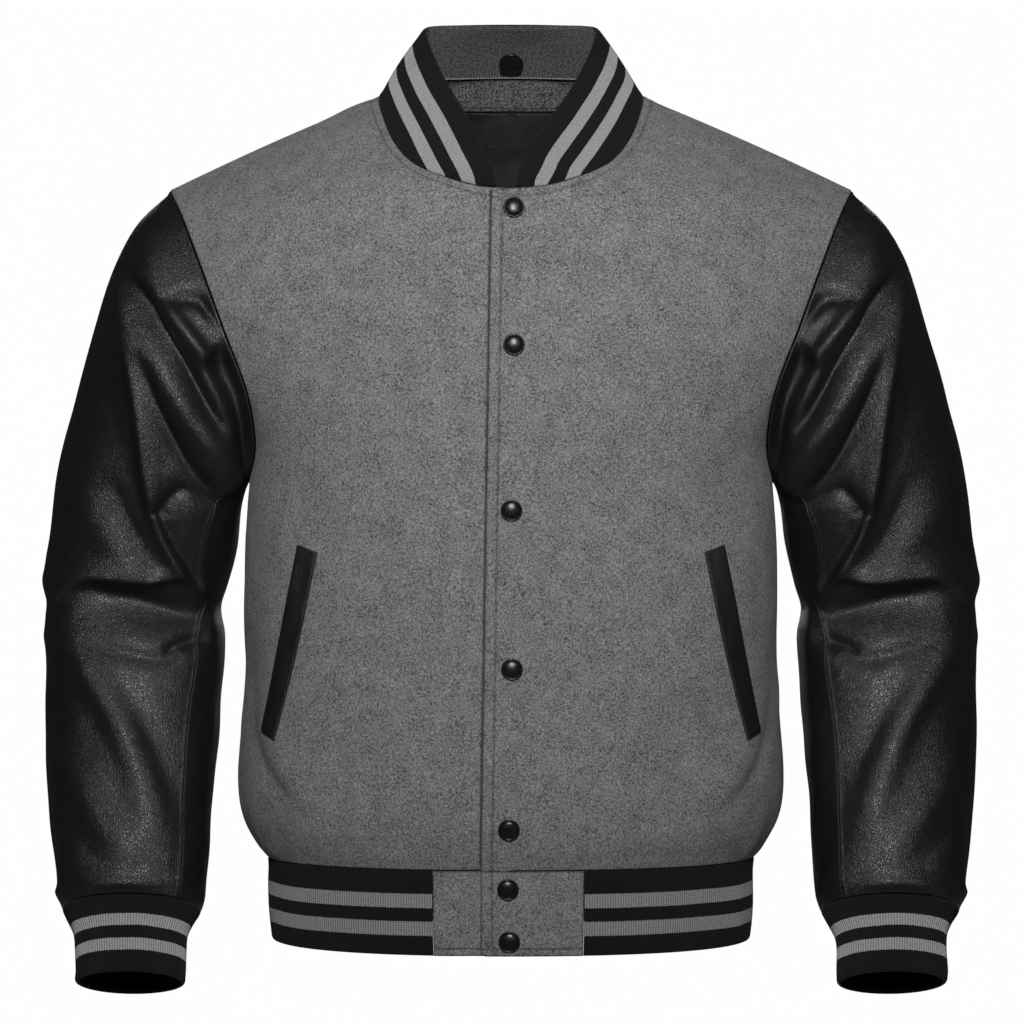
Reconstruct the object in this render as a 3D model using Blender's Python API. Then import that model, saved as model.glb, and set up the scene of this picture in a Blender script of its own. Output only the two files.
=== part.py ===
"""Varsity jacket, snap front, filled out and open inside, built from the pieces a maker cuts and sews.

Frame: +X to the wearer's left, -Y the front, +Z up, origin at the base of the neck.
Tables are in millimetres for one side (x counted outward); both sides come from them.
"""
import math

import bpy
import numpy as np
from mathutils import Vector
from mathutils.bvhtree import BVHTree

for old in list(bpy.data.objects):
    bpy.data.objects.remove(old, do_unlink=True)

# ---------------------------------------------------------------- driving dimensions, mm
MM = 0.001
SEAM_GAP = 0.36           # clear gap between two sewn pieces
WOOL = 2.0                # melton body cloth
LEATHER = 1.5             # sleeve leather
RIB = 2.4                 # knitted rib, doubled
FACE_RIB = 1.2            # plain rib on the inside of the collar
SATIN = 0.8               # lining and label
HEM_Z = -580.0            # seam of body to hem band
HEM_END_Z = -645.5        # lower edge of the hem band
UNDERARM_Z = -280.0
EDGE_TOP, EDGE_LOW = 15.5, 23.5   # overlap edge past the centre line, at the neck and at the hem
UNDERLAP = 18.0           # how far the other front runs on behind it
LAP_STEP = 2.7            # how far the under front is let in behind the overlap
LAP_FROM, LAP_TO = 50.0, 27.0     # where that step starts and ends, from the centre line
TAB_RIGHT, TAB_LEFT = 60.5, 56.5  # hem tab seams, from the centre line
CAP_R, CAP_H = 8.3, 3.2   # snap cap
WELT_T = 1.6
SNAPS = ((2.3, -72.3), (2.3, -178.0), (0.4, -304.5), (0.8, -425.5), (-1.5, -547.5), (-2.3, -594.0), (-1.2, -634.0))
HOOD_SNAP_Z = 63.5

# Half sections of the body: height, half width, depth in front, depth behind
BODY = np.array([
    (-580, 194.0, 124.0, 112.0),
    (-568, 204.0, 129.0, 116.5),
    (-552, 213.0, 132.5, 119.0),
    (-534, 217.3, 134.0, 120.5),
    (-508, 218.0, 134.0, 120.0),
    (-470, 215.0, 132.5, 116.0),
    (-424, 212.0, 131.0, 112.0),
    (-376, 213.0, 130.0, 110.5),
    (-330, 212.5, 129.0, 111.5),
    (-280, 209.0, 128.5, 115.0)], float)
BODY_FULL = 0.63          # fullness of the section's quarter curves
# Hem band: height, half width, front, back
HEM = np.array([(-645.5, 190.5, 123.0, 110.0), (-620, 192.6, 123.2, 111.0), (-590, 192.8, 123.4, 111.2),
                (-580, 194.0, 124.0, 112.0)], float)
# Centre front and centre back lines above the underarm: height, distance from the middle
FRONT_LINE = np.array([(-330, 129.0), (-280, 128.5), (-220, 127.6), (-150, 124.8), (-100, 120.6), (-57, 115.0)], float)
BACK_LINE = np.array([(-330, 111.5), (-280, 115.0), (-220, 120.0), (-150, 125.0), (-90, 126.0), (-30, 121.0),
                      (20, 108.0), (54, 97.0)], float)
# Neck seam from centre front over the shoulder to centre back: step, x, y, z
NECK = np.array([
    (0, 0.0, -115.0, -57.0),
    (1, 26.3, -112.0, -54.6),
    (2, 50.9, -104.0, -47.2),
    (3, 65.8, -95.0, -40.7),
    (4, 79.0, -82.5, -31.8),
    (5, 91.5, -61.0, -15.5),
    (6, 100.0, -33.0, 4.5),
    (7, 106.0, 0.0, 25.0),
    (8, 103.5, 18.0, 29.5),
    (9, 95.5, 42.0, 37.5),
    (10, 72.0, 71.5, 48.0),
    (11, 38.0, 91.0, 52.5),
    (12, 0.0, 97.0, 54.0)], float)
# Armhole seam: angle from the shoulder tip over the front, x, y, z
ARMHOLE = np.array([
    (0, 273.0, 0.0, -48.0),
    (30, 259.5, -37.0, -73.0),
    (60, 241.5, -65.0, -116.0),
    (90, 224.0, -78.0, -162.0),
    (120, 205.5, -71.0, -213.0),
    (150, 201.0, -44.0, -254.0),
    (180, 209.0, 0.0, -280.0),
    (210, 206.0, 47.0, -258.0),
    (240, 214.0, 75.0, -214.0),
    (270, 232.0, 84.0, -160.0),
    (300, 248.0, 72.0, -110.0),
    (330, 263.0, 39.0, -68.0),
    (360, 273.0, 0.0, -48.0)], float)
# Rows of a front above the underarm: armhole angle; handle and slopes (y, z) where the row leaves
# the centre line or neck; handle and direction (x, y, z) where it meets the armhole
FRONT_ROWS = np.array([
    (0, 57, 0.00, -0.370, 57, 0.890, 0.00, -0.430),
    (10, 48, 0.03, 0.020, 60, 0.915, 0.10, -0.390),
    (20, 48, 0.05, 0.020, 60, 0.910, 0.20, -0.360),
    (39, 62, 0.02, -0.060, 58, 0.890, 0.34, -0.300),
    (57, 85, 0.02, -0.100, 55, 0.860, 0.45, -0.240),
    (75, 108, 0.03, -0.060, 52, 0.830, 0.52, -0.200),
    (90, 118, 0.00, 0.000, 50, 0.800, 0.58, -0.150),
    (120, 126, 0.00, 0.000, 43, 0.580, 0.80, -0.100),
    (150, 130, 0.00, 0.000, 46, 0.200, 0.97, -0.060),
    (180, 131.7, 0.00, 0.000, 81, 0.000, 1.00, 0.000)], float)
BACK_ROWS = np.array([
    (180, 131.7, 0.00, 0.000, 72.5, 0.000, -1.00, 0.000),
    (210, 128, 0.00, 0.000, 44, 0.180, -0.98, -0.080),
    (240, 124, 0.00, 0.000, 42, 0.600, -0.78, -0.100),
    (270, 108, -0.02, -0.060, 48, 0.820, -0.55, -0.160),
    (285, 70, -0.05, -0.200, 52, 0.850, -0.50, -0.200),
    (300, 66, 0.02, -0.300, 54, 0.870, -0.42, -0.240),
    (330, 54, 0.04, -0.400, 58, 0.900, -0.22, -0.350),
    (345, 54, 0.02, -0.430, 58, 0.912, -0.10, -0.385),
    (360, 57, 0.00, -0.370, 57, 0.890, 0.00, -0.430)], float)
# Where those rows start: armhole angle, height on the centre line
FRONT_START = np.array([(75, -57.0), (90, -95.0), (105, -128.0), (120, -158.0), (135, -187.0), (150, -215.0),
                        (165, -244.0), (172.5, -262.0), (180, -280.0)], float)
BACK_START = np.array([(180, -280.0), (187.5, -264.0), (195, -248.0), (202.5, -231.0), (210, -213.0), (225, -168.0),
                       (240, -116.0), (255, -60.0), (270, 0.0), (285, 54.0)], float)
# Sleeve rings after the armhole: outer x, z; inner x, z; middle y; half depth; forward tilt;
# front seam angle; back seam angle
SLEEVE = np.array([
    (296.0, -72.0, 212.0, -287.0, 2.0, 84.0, 0, 160, 214),
    (314.0, -101.0, 215.0, -297.0, 4.0, 82.0, 0, 153, 220),
    (328.5, -142.0, 217.0, -308.0, 6.0, 80.0, 0, 146, 227),
    (356.5, -245.0, 220.0, -334.0, 13.0, 73.0, 2, 136, 237),
    (374.0, -340.0, 229.0, -366.0, 20.0, 66.0, 5, 140, 240),
    (375.5, -368.0, 233.5, -382.0, 18.0, 61.0, 8, 150, 240),
    (374.0, -404.0, 230.0, -404.0, 15.0, 63.0, 11, 143, 240),
    (370.0, -492.0, 233.5, -487.0, -12.0, 58.5, 20, 135, 240),
    (364.5, -540.0, 236.0, -536.0, -31.0, 55.0, 22, 135, 240),
    (354.5, -604.0, 238.0, -604.0, -60.0, 48.0, 24, 135, 240),
    (350.0, -616.5, 242.0, -616.5, -66.0, 40.5, 25, 135, 240)], float)
# Cuff rings: outer x, z; inner x, z; middle y; half depth; forward tilt
CUFF = np.array([
    (350.0, -616.5, 242.0, -616.5, -66.0, 40.5, 25),
    (343.5, -626.5, 248.5, -626.5, -71.5, 36.0, 25),
    (338.5, -638.0, 252.8, -638.0, -78.5, 33.0, 25),
    (336.5, -669.5, 252.0, -669.5, -93.0, 31.5, 25)], float)
# Collar: neck step of its foot, and its top edge x, y, z; a row for each station, from the end to the back
COLLAR_RIGHT = np.array([
    (1.00, 10.8, -109.0, -55.0),
    (1.48, 13.0, -104.5, -43.0),
    (2.00, 17.0, -97.0, -33.0),
    (3.00, 21.0, -87.0, -24.0),
    (4.00, 28.0, -75.0, -7.5),
    (5.00, 39.0, -45.0, 15.0),
    (6.00, 51.0, -12.0, 38.0),
    (7.00, 61.0, 22.0, 61.5),
    (8.00, 69.0, 36.0, 82.0),
    (9.00, 69.0, 49.0, 89.5),
    (9.50, 60.0, 56.0, 92.0),
    (10.00, 46.0, 60.0, 93.0),
    (11.00, 22.0, 63.0, 94.0),
    (12.00, 0.0, 63.5, 94.2)], float)
COLLAR_LEFT = np.array([
    (0.47, 3.1, -111.0, -54.8),
    (0.97, 5.2, -106.0, -43.5),
    (1.60, 9.3, -99.0, -34.0),
    (2.33, 12.5, -90.0, -24.5),
    (3.55, 23.0, -76.0, -7.5),
    (4.80, 37.0, -46.0, 14.5),
    (5.85, 50.5, -13.0, 38.0),
    (7.00, 61.0, 22.0, 61.5),
    (8.00, 69.0, 36.0, 82.0),
    (9.00, 69.0, 49.0, 89.5),
    (9.50, 60.0, 56.0, 92.0),
    (10.00, 46.0, 60.0, 93.0),
    (11.00, 22.0, 63.0, 94.0),
    (12.00, 0.0, 63.5, 94.2)], float)
COLLAR_BULGE = 3.0
# Pocket welt corners on the front: x, z
WELT = np.array([(164.5, -330.5), (148.5, -336.5), (193.5, -476.0), (182.5, -483.0)], float)

FRONT_ANGLES = (180, 172.5, 165, 157.5, 150, 135, 120, 105, 90, 75, 66, 57, 48, 39, 30, 20, 10, 0)
BACK_ANGLES = (180, 187.5, 195, 202.5, 210, 225, 240, 255, 270, 285, 300, 315, 322.5, 330, 345, 360)
BODY_ROWS = (-580, -568, -552, -530, -475, -405, -335)


# ---------------------------------------------------------------- curves
def along(table, at):
    """The table's other columns at a value of its first, on a smooth curve through the rows."""
    keys, rows = table[:, 0], table[:, 1:]
    i = int(np.clip(np.searchsorted(keys, at) - 1, 0, len(keys) - 2))

    def slope(j):
        lo, hi = max(j - 1, 0), min(j + 1, len(keys) - 1)
        return (rows[hi] - rows[lo]) / (keys[hi] - keys[lo])

    h = keys[i + 1] - keys[i]
    t = (at - keys[i]) / h
    return ((2 * t**3 - 3 * t**2 + 1) * rows[i] + (t**3 - 2 * t**2 + t) * h * slope(i)
            + (3 * t**2 - 2 * t**3) * rows[i + 1] + (t**3 - t**2) * h * slope(i + 1))


def unit(v):
    return v / max(np.linalg.norm(v), 1e-12)


def bezier(a, b, c, d, t):
    s = 1 - t
    return s**3 * a + 3 * s * s * t * b + 3 * s * t * t * c + t**3 * d


def armhole(angle):
    return along(ARMHOLE, angle % 360 if angle != 360 else 360)


def neck(step):
    return along(NECK, step)


def section(z, table, front):
    """Handles of a level quarter section of the body: from the centre line to the side seam."""
    w, f, b = along(table, z)
    y = -f if front else b
    start, end = np.array((0, y, z)), np.array((w, 0, z))
    return start, start + (BODY_FULL * w, 0, 0), end + (0, BODY_FULL * y, 0), end


def upper_row(angle, start, front):
    """Handles of a row from the centre line or the neck to the armhole."""
    ha, sy, sz, hb, ox, oy, oz = along(FRONT_ROWS if front else BACK_ROWS, angle)
    end = armhole(angle)
    return start, start + ha * unit(np.array((1, sy, sz))), end - hb * unit(np.array((ox, oy, oz))), end


def centre(z, front):
    y = along(FRONT_LINE if front else BACK_LINE, z)[0]
    return np.array((0, -y if front else y, z))


def rows_of(front, neck_steps):
    """All rows of a half panel, from hem to shoulder, and the number of rows up to the neck."""
    rows = [section(z, BODY, front) for z in BODY_ROWS]
    starts = FRONT_START if front else BACK_START
    on_neck = 0
    for angle in (FRONT_ANGLES if front else BACK_ANGLES):
        if starts[0, 0] <= angle <= starts[-1, 0]:
            rows.append(upper_row(angle, centre(along(starts, angle)[0], front), front))
        else:
            rows.append(upper_row(angle, neck(neck_steps[on_neck]), front))
            on_neck += 1
    return rows, len(rows) - on_neck


def reach(row, x):
    """The parameter at which a row is x from the centre line."""
    lo, hi = 0.0, 1.0
    for _ in range(40):
        mid = (lo + hi) / 2
        lo, hi = (mid, hi) if bezier(*row, mid)[0] < x else (lo, mid)
    return lo


# ---------------------------------------------------------------- cloth pieces
def trunk(p):
    """The body's upright middle line, level with p."""
    return np.array((0, 0, p[2]))


def arm(p):
    """The sleeve's middle line, level with p."""
    down = np.clip((-164 - p[2]) / 230, 0, 1)
    return np.array((math.copysign(240 + 60 * down, p[0]), 0 if p[2] > -380 else (p[2] + 380) * 0.28, p[2]))


class Piece:
    """Quads on the outer face of a piece; points that two grids share become one."""

    def __init__(self, name, thickness, kind):
        self.name, self.thickness, self.kind = name, thickness, kind
        self.points, self.index, self.quads = [], {}, []

    def add(self, grid, core=None):
        """Add a grid, its faces turned away from the core, the line that the piece goes round."""
        core = core or trunk
        ids, turned = [], 0.0
        for lower, upper in zip(grid, grid[1:]):
            for a, b, c, d in zip(lower, lower[1:], upper[1:], upper):
                mid = (a + b + c + d) / 4
                turned += float(np.cross(c - a, d - b) @ (mid - core(mid)))
        for row in grid:
            ids.append([])
            for p in row:
                key = tuple(int(round(c * 1000)) for c in p)
                if key not in self.index:
                    self.index[key] = len(self.points)
                    self.points.append(np.array(p, float))
                ids[-1].append(self.index[key])
        for j in range(len(ids) - 1):
            for i in range(len(ids[0]) - 1):
                q = (ids[j][i], ids[j][i + 1], ids[j + 1][i + 1], ids[j + 1][i])
                q = tuple(reversed(q)) if turned < 0 else q
                if len(set(q)) == 4:
                    self.quads.append(q)
        return self

    def normals(self):
        pts = np.array(self.points)
        out = np.zeros_like(pts)
        for a, b, c, d in self.quads:
            n = np.cross(pts[c] - pts[a], pts[d] - pts[b])
            for v in (a, b, c, d):
                out[v] += unit(n)
        return np.array([unit(n) for n in out])

    def tris(self):
        return [t for a, b, c, d in self.quads for t in ((a, b, c), (a, c, d))]

    def tree(self, offset=0.0):
        """A search tree of the outer face, or of one moved by offset along its normals."""
        pts = np.array(self.points) + offset * self.normals()
        return BVHTree.FromPolygons([Vector(p) for p in pts], self.tris())


PIECES, SHARED = [], {}
SHOULDER_UP = unit(np.array((48.0 + 25.0, 0, 273.0 - 106.0)))     # square to the shoulder seam


def sew(piece):
    """Keep a piece, and note its normal at each point for the pieces that share the seam."""
    PIECES.append(piece)
    group = "body" if piece.name.startswith(("front", "back")) else piece.name.split("_")[0]
    for p, n in zip(piece.points, piece.normals()):
        at = SHARED.setdefault(tuple(int(round(c * 1000)) for c in p), {})
        at.setdefault(group, []).append(n)
    return piece


def seam_direction(at):
    """The direction in which all walls that meet at a point end: each group of pieces counts once."""
    return unit(sum(unit(sum(normals)) for normals in at.values()))


def material(name, kind):
    colour, rough, metal = KINDS[kind]
    mat = bpy.data.materials.new(name)
    mat.use_nodes = True
    bsdf = mat.node_tree.nodes["Principled BSDF"]
    bsdf.inputs["Base Color"].default_value = (*colour, 1.0)
    bsdf.inputs["Roughness"].default_value = rough
    bsdf.inputs["Metallic"].default_value = metal
    return mat


KINDS = {
    "wool": ((0.135, 0.135, 0.137), 0.95, 0.0),
    "leather": ((0.013, 0.013, 0.014), 0.42, 0.0),
    "rib": ((0.012, 0.012, 0.013), 0.9, 0.0),
    "rib_grey": ((0.07, 0.07, 0.07), 0.95, 0.0),
    "satin": ((0.008, 0.008, 0.009), 0.45, 0.0),
    "enamel": ((0.006, 0.006, 0.006), 0.18, 0.3),
}


def finish(name, points, faces, kind):
    mesh = bpy.data.meshes.new(name)
    mesh.from_pydata([tuple(MM * c for c in p) for p in points], [], faces)
    mesh.validate()
    mesh.update()
    mesh.shade_smooth()
    mesh.set_sharp_from_angle(angle=math.radians(50))
    ob = bpy.data.objects.new(name, mesh)
    bpy.context.scene.collection.objects.link(ob)
    mesh.materials.append(material(name + "_mat", kind))
    return ob


def close(piece):
    """Turn a piece's outer face into a closed wall, its edges drawn back by half the seam gap."""
    pts, own = np.array(piece.points), piece.normals()
    tris = piece.tris()
    edges = {}
    for q in piece.quads:
        for a, b in zip(q, q[1:] + q[:1]):
            edges[(a, b)] = edges.get((a, b), 0) + 1
    rim = [e for e in edges if (e[1], e[0]) not in edges]
    inward = {}
    thick = np.zeros_like(pts)
    for i, p in enumerate(pts):
        key = tuple(int(round(c * 1000)) for c in p)
        m = seam_direction(SHARED[key]) if key in SHARED else own[i]
        if piece.kind == "wool" and abs(p[1]) < 1e-6 and p[2] > -47.9 and len(SHARED[key]) < 2:
            m = SHOULDER_UP * (math.copysign(1, p[0]), 1, 1)
        thick[i] = m * piece.thickness / max(float(m @ own[i]), 0.5)
    for a, b in rim:
        for v in (a, b):
            s = unit(np.cross(unit(thick[v]), unit(pts[b] - pts[a])))
            inward.setdefault(v, []).append(s)
    for v, sides in inward.items():
        s1, s2 = sides[0], sides[-1]
        pts[v] = pts[v] + SEAM_GAP / 2 * (s1 + s2) / max(1 + float(s1 @ s2), 0.35)
    n = len(pts)
    faces = list(tris) + [(c + n, b + n, a + n) for a, b, c in tris]
    for a, b in rim:          # both sides of a seam split their end faces the same way
        if tuple(np.round(piece.points[a], 3)) < tuple(np.round(piece.points[b], 3)):
            faces += [(b, a, b + n), (a, a + n, b + n)]
        else:
            faces += [(b, a, a + n), (b, a + n, b + n)]
    return finish(piece.name, list(pts) + list(pts - thick), faces, piece.kind)


def mirrored(grid):
    return [[np.array(p) * (-1, 1, 1) for p in row] for row in grid]


def step_in(grid):
    """Let the under front in behind the overlap, near the centre line (wearer's right is -x)."""
    out = []
    for row in grid:
        out.append([])
        for p in row:
            t = np.clip((p[0] + LAP_FROM) / (LAP_FROM - LAP_TO), 0, 1) if p[1] < 0 else 0
            out[-1].append(p + np.array((0, LAP_STEP * (3 * t * t - 2 * t**3), 0)))
    return out


# ---------------------------------------------------------------- fronts and back
def half_panel(front, neck_steps, cuts):
    """Grid of a half panel on the +x side, its rows, and the count of rows up to the neck."""
    rows, to_neck = rows_of(front, neck_steps)
    return [[bezier(*row, t) for t in cuts] for row in rows], rows, to_neck


def lap(rows, to_neck, widths):
    """The strip of a front past the centre line: one column for each fraction of its width."""
    grid = []
    for row in rows[:to_neck]:
        z = row[0][2]
        f = (z - HEM_Z) / (-57.0 - HEM_Z)
        full = EDGE_LOW + (EDGE_TOP - EDGE_LOW) * f if widths == "over" else UNDERLAP
        grid.append([])
        for part in (0, 1):
            p = bezier(*row, reach(row, full * part)) if part else row[0].copy()
            grid[-1].append(p * (-1, 1, 1))
    return grid


def cuts_for(tab):
    first = reach(section(HEM_Z, BODY, True), tab)
    near = reach(section(HEM_Z, BODY, True), 27.0)
    mid = reach(section(HEM_Z, BODY, True), 42.0)
    return (0, near, mid, first, 0.34, 0.53, 0.7, 0.86, 1.0)


RIGHT_STEPS = tuple(COLLAR_RIGHT[k, 0] for k in range(8))
LEFT_STEPS = tuple(COLLAR_LEFT[k, 0] for k in range(8))
CUTS_R, CUTS_L = cuts_for(TAB_RIGHT), cuts_for(TAB_LEFT)
BACK_CUTS = (0, 0.17, 0.34, 0.51, 0.68, 0.85, 1.0)

half, rows_r, neck_r = half_panel(True, RIGHT_STEPS, CUTS_R)
front_right = Piece("front_right", WOOL, "wool")
front_right.add(step_in(mirrored(half)))
front_right.add(step_in(mirrored(lap(rows_r, neck_r, "under"))))
sew(front_right)

half, rows_l, neck_l = half_panel(True, LEFT_STEPS, CUTS_L)
front_left = Piece("front_left", WOOL, "wool")
front_left.add(half)
front_left.add(lap(rows_l, neck_l, "over"))
sew(front_left)

half, rows_b, neck_b = half_panel(False, tuple(COLLAR_LEFT[k, 0] for k in (12, 11, 10, 9, 8, 7)), BACK_CUTS)
back = Piece("back", WOOL, "wool")
back.add(half)
back.add(mirrored(half))
sew(back)


# ---------------------------------------------------------------- sleeves and cuffs
def ring_point(ring, angle):
    xo, zo, xi, zi, yc, depth, tilt = ring[:7]
    a, t = math.radians(angle), math.radians(tilt)
    mid = np.array(((xo + xi) / 2, yc, (zo + zi) / 2))
    out = np.array(((xo - xi) / 2, 0, (zo - zi) / 2))
    return mid + out * math.cos(a) + depth * np.array((0, -math.cos(t), math.sin(t))) * math.sin(a)


TOP_ANGLES = [a for a in FRONT_ANGLES if a <= 165] + [a - 360 for a in reversed(BACK_ANGLES[:-1]) if a >= 210]
UNDER_ANGLES = [165, 172.5] + [a for a in BACK_ANGLES if a <= 210]


def sleeve_angle(angle, front_seam, back_seam, under):
    """The armhole angle turned with the seams as they wander down the sleeve."""
    if under:
        return front_seam + (angle - 165) / 45 * (back_seam - front_seam)
    return angle * front_seam / 165 if angle >= 0 else angle * (360 - back_seam) / 150


def sleeve_grid(under):
    grid = [[armhole(a) for a in (UNDER_ANGLES if under else TOP_ANGLES)]]
    for ring in SLEEVE:
        grid.append([ring_point(ring, sleeve_angle(a, ring[7], ring[8], under))
                     for a in (UNDER_ANGLES if under else TOP_ANGLES)])
    return grid


def cuff_grid():
    angles = [sleeve_angle(a, 135, 240, False) for a in TOP_ANGLES]
    angles += [sleeve_angle(a, 135, 240, True) - 360 for a in reversed(UNDER_ANGLES[:-1])]
    return [[ring_point(ring, a) for a in angles] for ring in CUFF]


for side in ("right", "left"):
    turn = mirrored if side == "right" else (lambda grid: grid)
    for part in ("top", "under"):
        sew(Piece("sleeve_%s_%s" % (side, part), LEATHER, "leather").add(turn(sleeve_grid(part == "under")), arm))
    sew(Piece("cuff_" + side, RIB, "rib").add(turn(cuff_grid()), arm))

# ---------------------------------------------------------------- hem band and tabs
def hem_grid(front, cuts):
    return [[bezier(*section(z, HEM, front), t) for t in cuts] for z in HEM[:, 0]]


hem = Piece("hem_rib", RIB, "rib")
hem.add(step_in(mirrored(hem_grid(True, [t for t in CUTS_R if t >= CUTS_R[3]]))))
hem.add(hem_grid(True, [t for t in CUTS_L if t >= CUTS_L[3]]))
hem.add(hem_grid(False, BACK_CUTS))
hem.add(mirrored(hem_grid(False, BACK_CUTS)))
sew(hem)


def tab_strip(width):
    grid = []
    for z in HEM[:, 0]:
        row = section(z, HEM, True)
        grid.append([bezier(*row, reach(row, width * f)) * (-1, 1, 1) for f in (0, 1)])
    return grid


tab = Piece("hem_tab_right", WOOL, "wool")
tab.add(step_in(mirrored(hem_grid(True, CUTS_R[:4]))))
tab.add(step_in(mirrored(tab_strip(UNDERLAP))))
sew(tab)
tab = Piece("hem_tab_left", WOOL, "wool")
tab.add(hem_grid(True, CUTS_L[:4]))
tab.add(tab_strip(EDGE_LOW))
sew(tab)


# ---------------------------------------------------------------- collar
def collar_station(row, side, part):
    """A point of the collar: part runs from its foot on the neck seam to its top edge."""
    foot = neck(row[0]) * (side, 1, 1)
    if side < 0:
        foot = step_in([[foot]])[0][0]
    top = row[1:4] * (side, 1, 1)
    out = unit(np.array((foot[0], foot[1] * 0.9 - 4.0, 30.0)))
    size = np.linalg.norm(top - foot)
    return foot + (top - foot) * part + out * COLLAR_BULGE * (size / 60.0) * 4 * part * (1 - part)


def collar_grid(parts):
    """Stations from the end at the wearer's right round the back to the end at the wearer's left."""
    return [[collar_station(r, -1, s) for r in COLLAR_RIGHT]
            + [collar_station(r, 1, s) for r in COLLAR_LEFT[::-1][1:]] for s in parts]


COLLAR_PARTS = (0, 0.33, 0.67, 1)
collar = sew(Piece("collar", RIB, "rib").add(collar_grid(COLLAR_PARTS)))



# ---------------------------------------------------------------- what lies on a panel
class Surface:
    """A piece's outer face, to lay other pieces on."""

    def __init__(self, piece):
        self.tree, self.faces = piece.tree(), piece.tris()
        self.points, self.normals = np.array(piece.points), piece.normals()

    def lay(self, spot, face, offset):
        spot = np.array(spot)
        ids = self.faces[face]
        a, b, c = (self.points[i] for i in ids)
        whole = np.linalg.norm(np.cross(b - a, c - a))
        share = [np.linalg.norm(np.cross(p - spot, q - spot)) / whole for p, q in ((b, c), (c, a), (a, b))]
        n = unit(sum(w * self.normals[i] for w, i in zip(share, ids)))
        return spot + offset * n, n

    def nearest(self, p, offset):
        spot, _, face, _ = self.tree.find_nearest(Vector(p))
        return self.lay(spot, face, offset)[0]

    def from_front(self, x, z, offset):
        spot, _, face, _ = self.tree.ray_cast(Vector((x, -400, z)), Vector((0, 1, 0)))
        return self.lay(spot, face, offset)


GAP = SEAM_GAP + 0.1      # clearance under a piece that lies on another

# the plain rib face inside the collar stops short of the folded edge
normal_at = dict(zip((tuple(p) for p in collar.points), collar.normals()))
grid = [[p - (RIB + 2.4 * GAP) * normal_at[tuple(p)] for p in row] for row in collar_grid(COLLAR_PARTS)]
grid[0] = [p + (q - p) * 0.16 for p, q in zip(grid[0], grid[1])]
grid[-1] = [p + (q - p) * 0.14 for p, q in zip(grid[-1], grid[-2])]
inner = sew(Piece("collar_inner", FACE_RIB, "rib_grey").add(grid))

# the wool facing below the collar seam behind the neck, then the lining below it, then the blank label
on_back = Surface(back)
FACING_STEPS = (8.2, 8.6, 9, 9.5, 10, 10.5, 11, 11.5, 12)


def facing_point(step, side, down):
    p = neck(step)
    return (p + down * unit(np.array((p[0] * 0.8, p[1] * 0.3, -70.0)))) * (side, 1, 1)


def facing_row(down):
    return [facing_point(s, -1, down) for s in FACING_STEPS] + [facing_point(s, 1, down) for s in FACING_STEPS[::-1][1:]]


facing = Piece("neck_facing", WOOL * 0.6, "rib_grey")
sew(facing.add([[on_back.nearest(p, -WOOL - GAP) for p in facing_row(d)] for d in (4.5, 16, 28)]))


def lining_row(part):
    row = []
    for p in facing_row(28.6):
        low = np.array((p[0] * 1.04, 120.0, -150.0))
        row.append(on_back.nearest(p + (low - p) * part, -WOOL - GAP - 3.4 * min(1, 4 * part + 0.35)))
    return row


lining = Piece("back_lining", SATIN, "satin")
sew(lining.add([lining_row(f) for f in (0, 0.15, 0.35, 0.65, 1)]))
label = Piece("neck_label", SATIN, "satin")
sew(label.add([[on_back.nearest(np.array((x, 110.0, z)), -WOOL - 3 * GAP - SATIN - 4.6) for x in (-21, -9, 3, 15)]
               for z in (1, -22, -45)]))

# pocket welts
welt_on = {"right": (Surface(front_right), -1), "left": (Surface(front_left), 1)}
for side, (surface, sign) in welt_on.items():
    a, b, c, d = WELT
    grid = [[surface.from_front(sign * ((a + (c - a) * v) * (1 - u) + (b + (d - b) * v) * u)[0],
                                ((a + (c - a) * v) * (1 - u) + (b + (d - b) * v) * u)[1], GAP + 0.6 + WELT_T)[0]
             for u in (0, 0.33, 0.67, 1)] for v in np.linspace(0, 1, 9)]
    sew(Piece("welt_" + side, WELT_T, "leather").add(grid))

for piece in PIECES:
    close(piece)


# ---------------------------------------------------------------- snaps
def turned(name, spot, n, outline, profile, kind):
    """A cap: its outline (unit circle or other) swept by a profile of share of width and height."""
    n = unit(n)
    across = unit(np.cross((0, 0, 1.0), n))
    up = np.cross(n, across)
    points, faces = [], []
    for share, height in profile[:-1]:
        points += [spot + n * height + share * (x * across + z * up) for x, z in outline]
    k = len(outline)
    points += [spot + n * profile[-1][1], spot + n * profile[0][1]]
    for j in range(len(profile) - 2):
        for i in range(k):
            m = (i + 1) % k
            faces.append((j * k + i, j * k + m, (j + 1) * k + m, (j + 1) * k + i))
    top = (len(profile) - 2) * k
    for i in range(k):
        m = (i + 1) % k
        faces.append((top + i, top + m, len(points) - 2))
        faces.append((m, i, len(points) - 1))
    return finish(name, points, faces, kind)


CIRCLE = [(CAP_R * math.cos(2 * math.pi * i / 16), CAP_R * math.sin(2 * math.pi * i / 16)) for i in range(16)]
CAP = ((0.9, 0), (1.0, 0.8), (0.8, 2.2), (0, CAP_H))
on_front, on_tab = Surface(front_left), Surface(tab)
for number, (x, z) in enumerate(SNAPS, 1):
    spot, n = (on_front if z > HEM_Z else on_tab).from_front(x, z, GAP + 0.1)
    turned("snap_%d" % number, spot, n, CIRCLE, CAP, "enamel")

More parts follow.
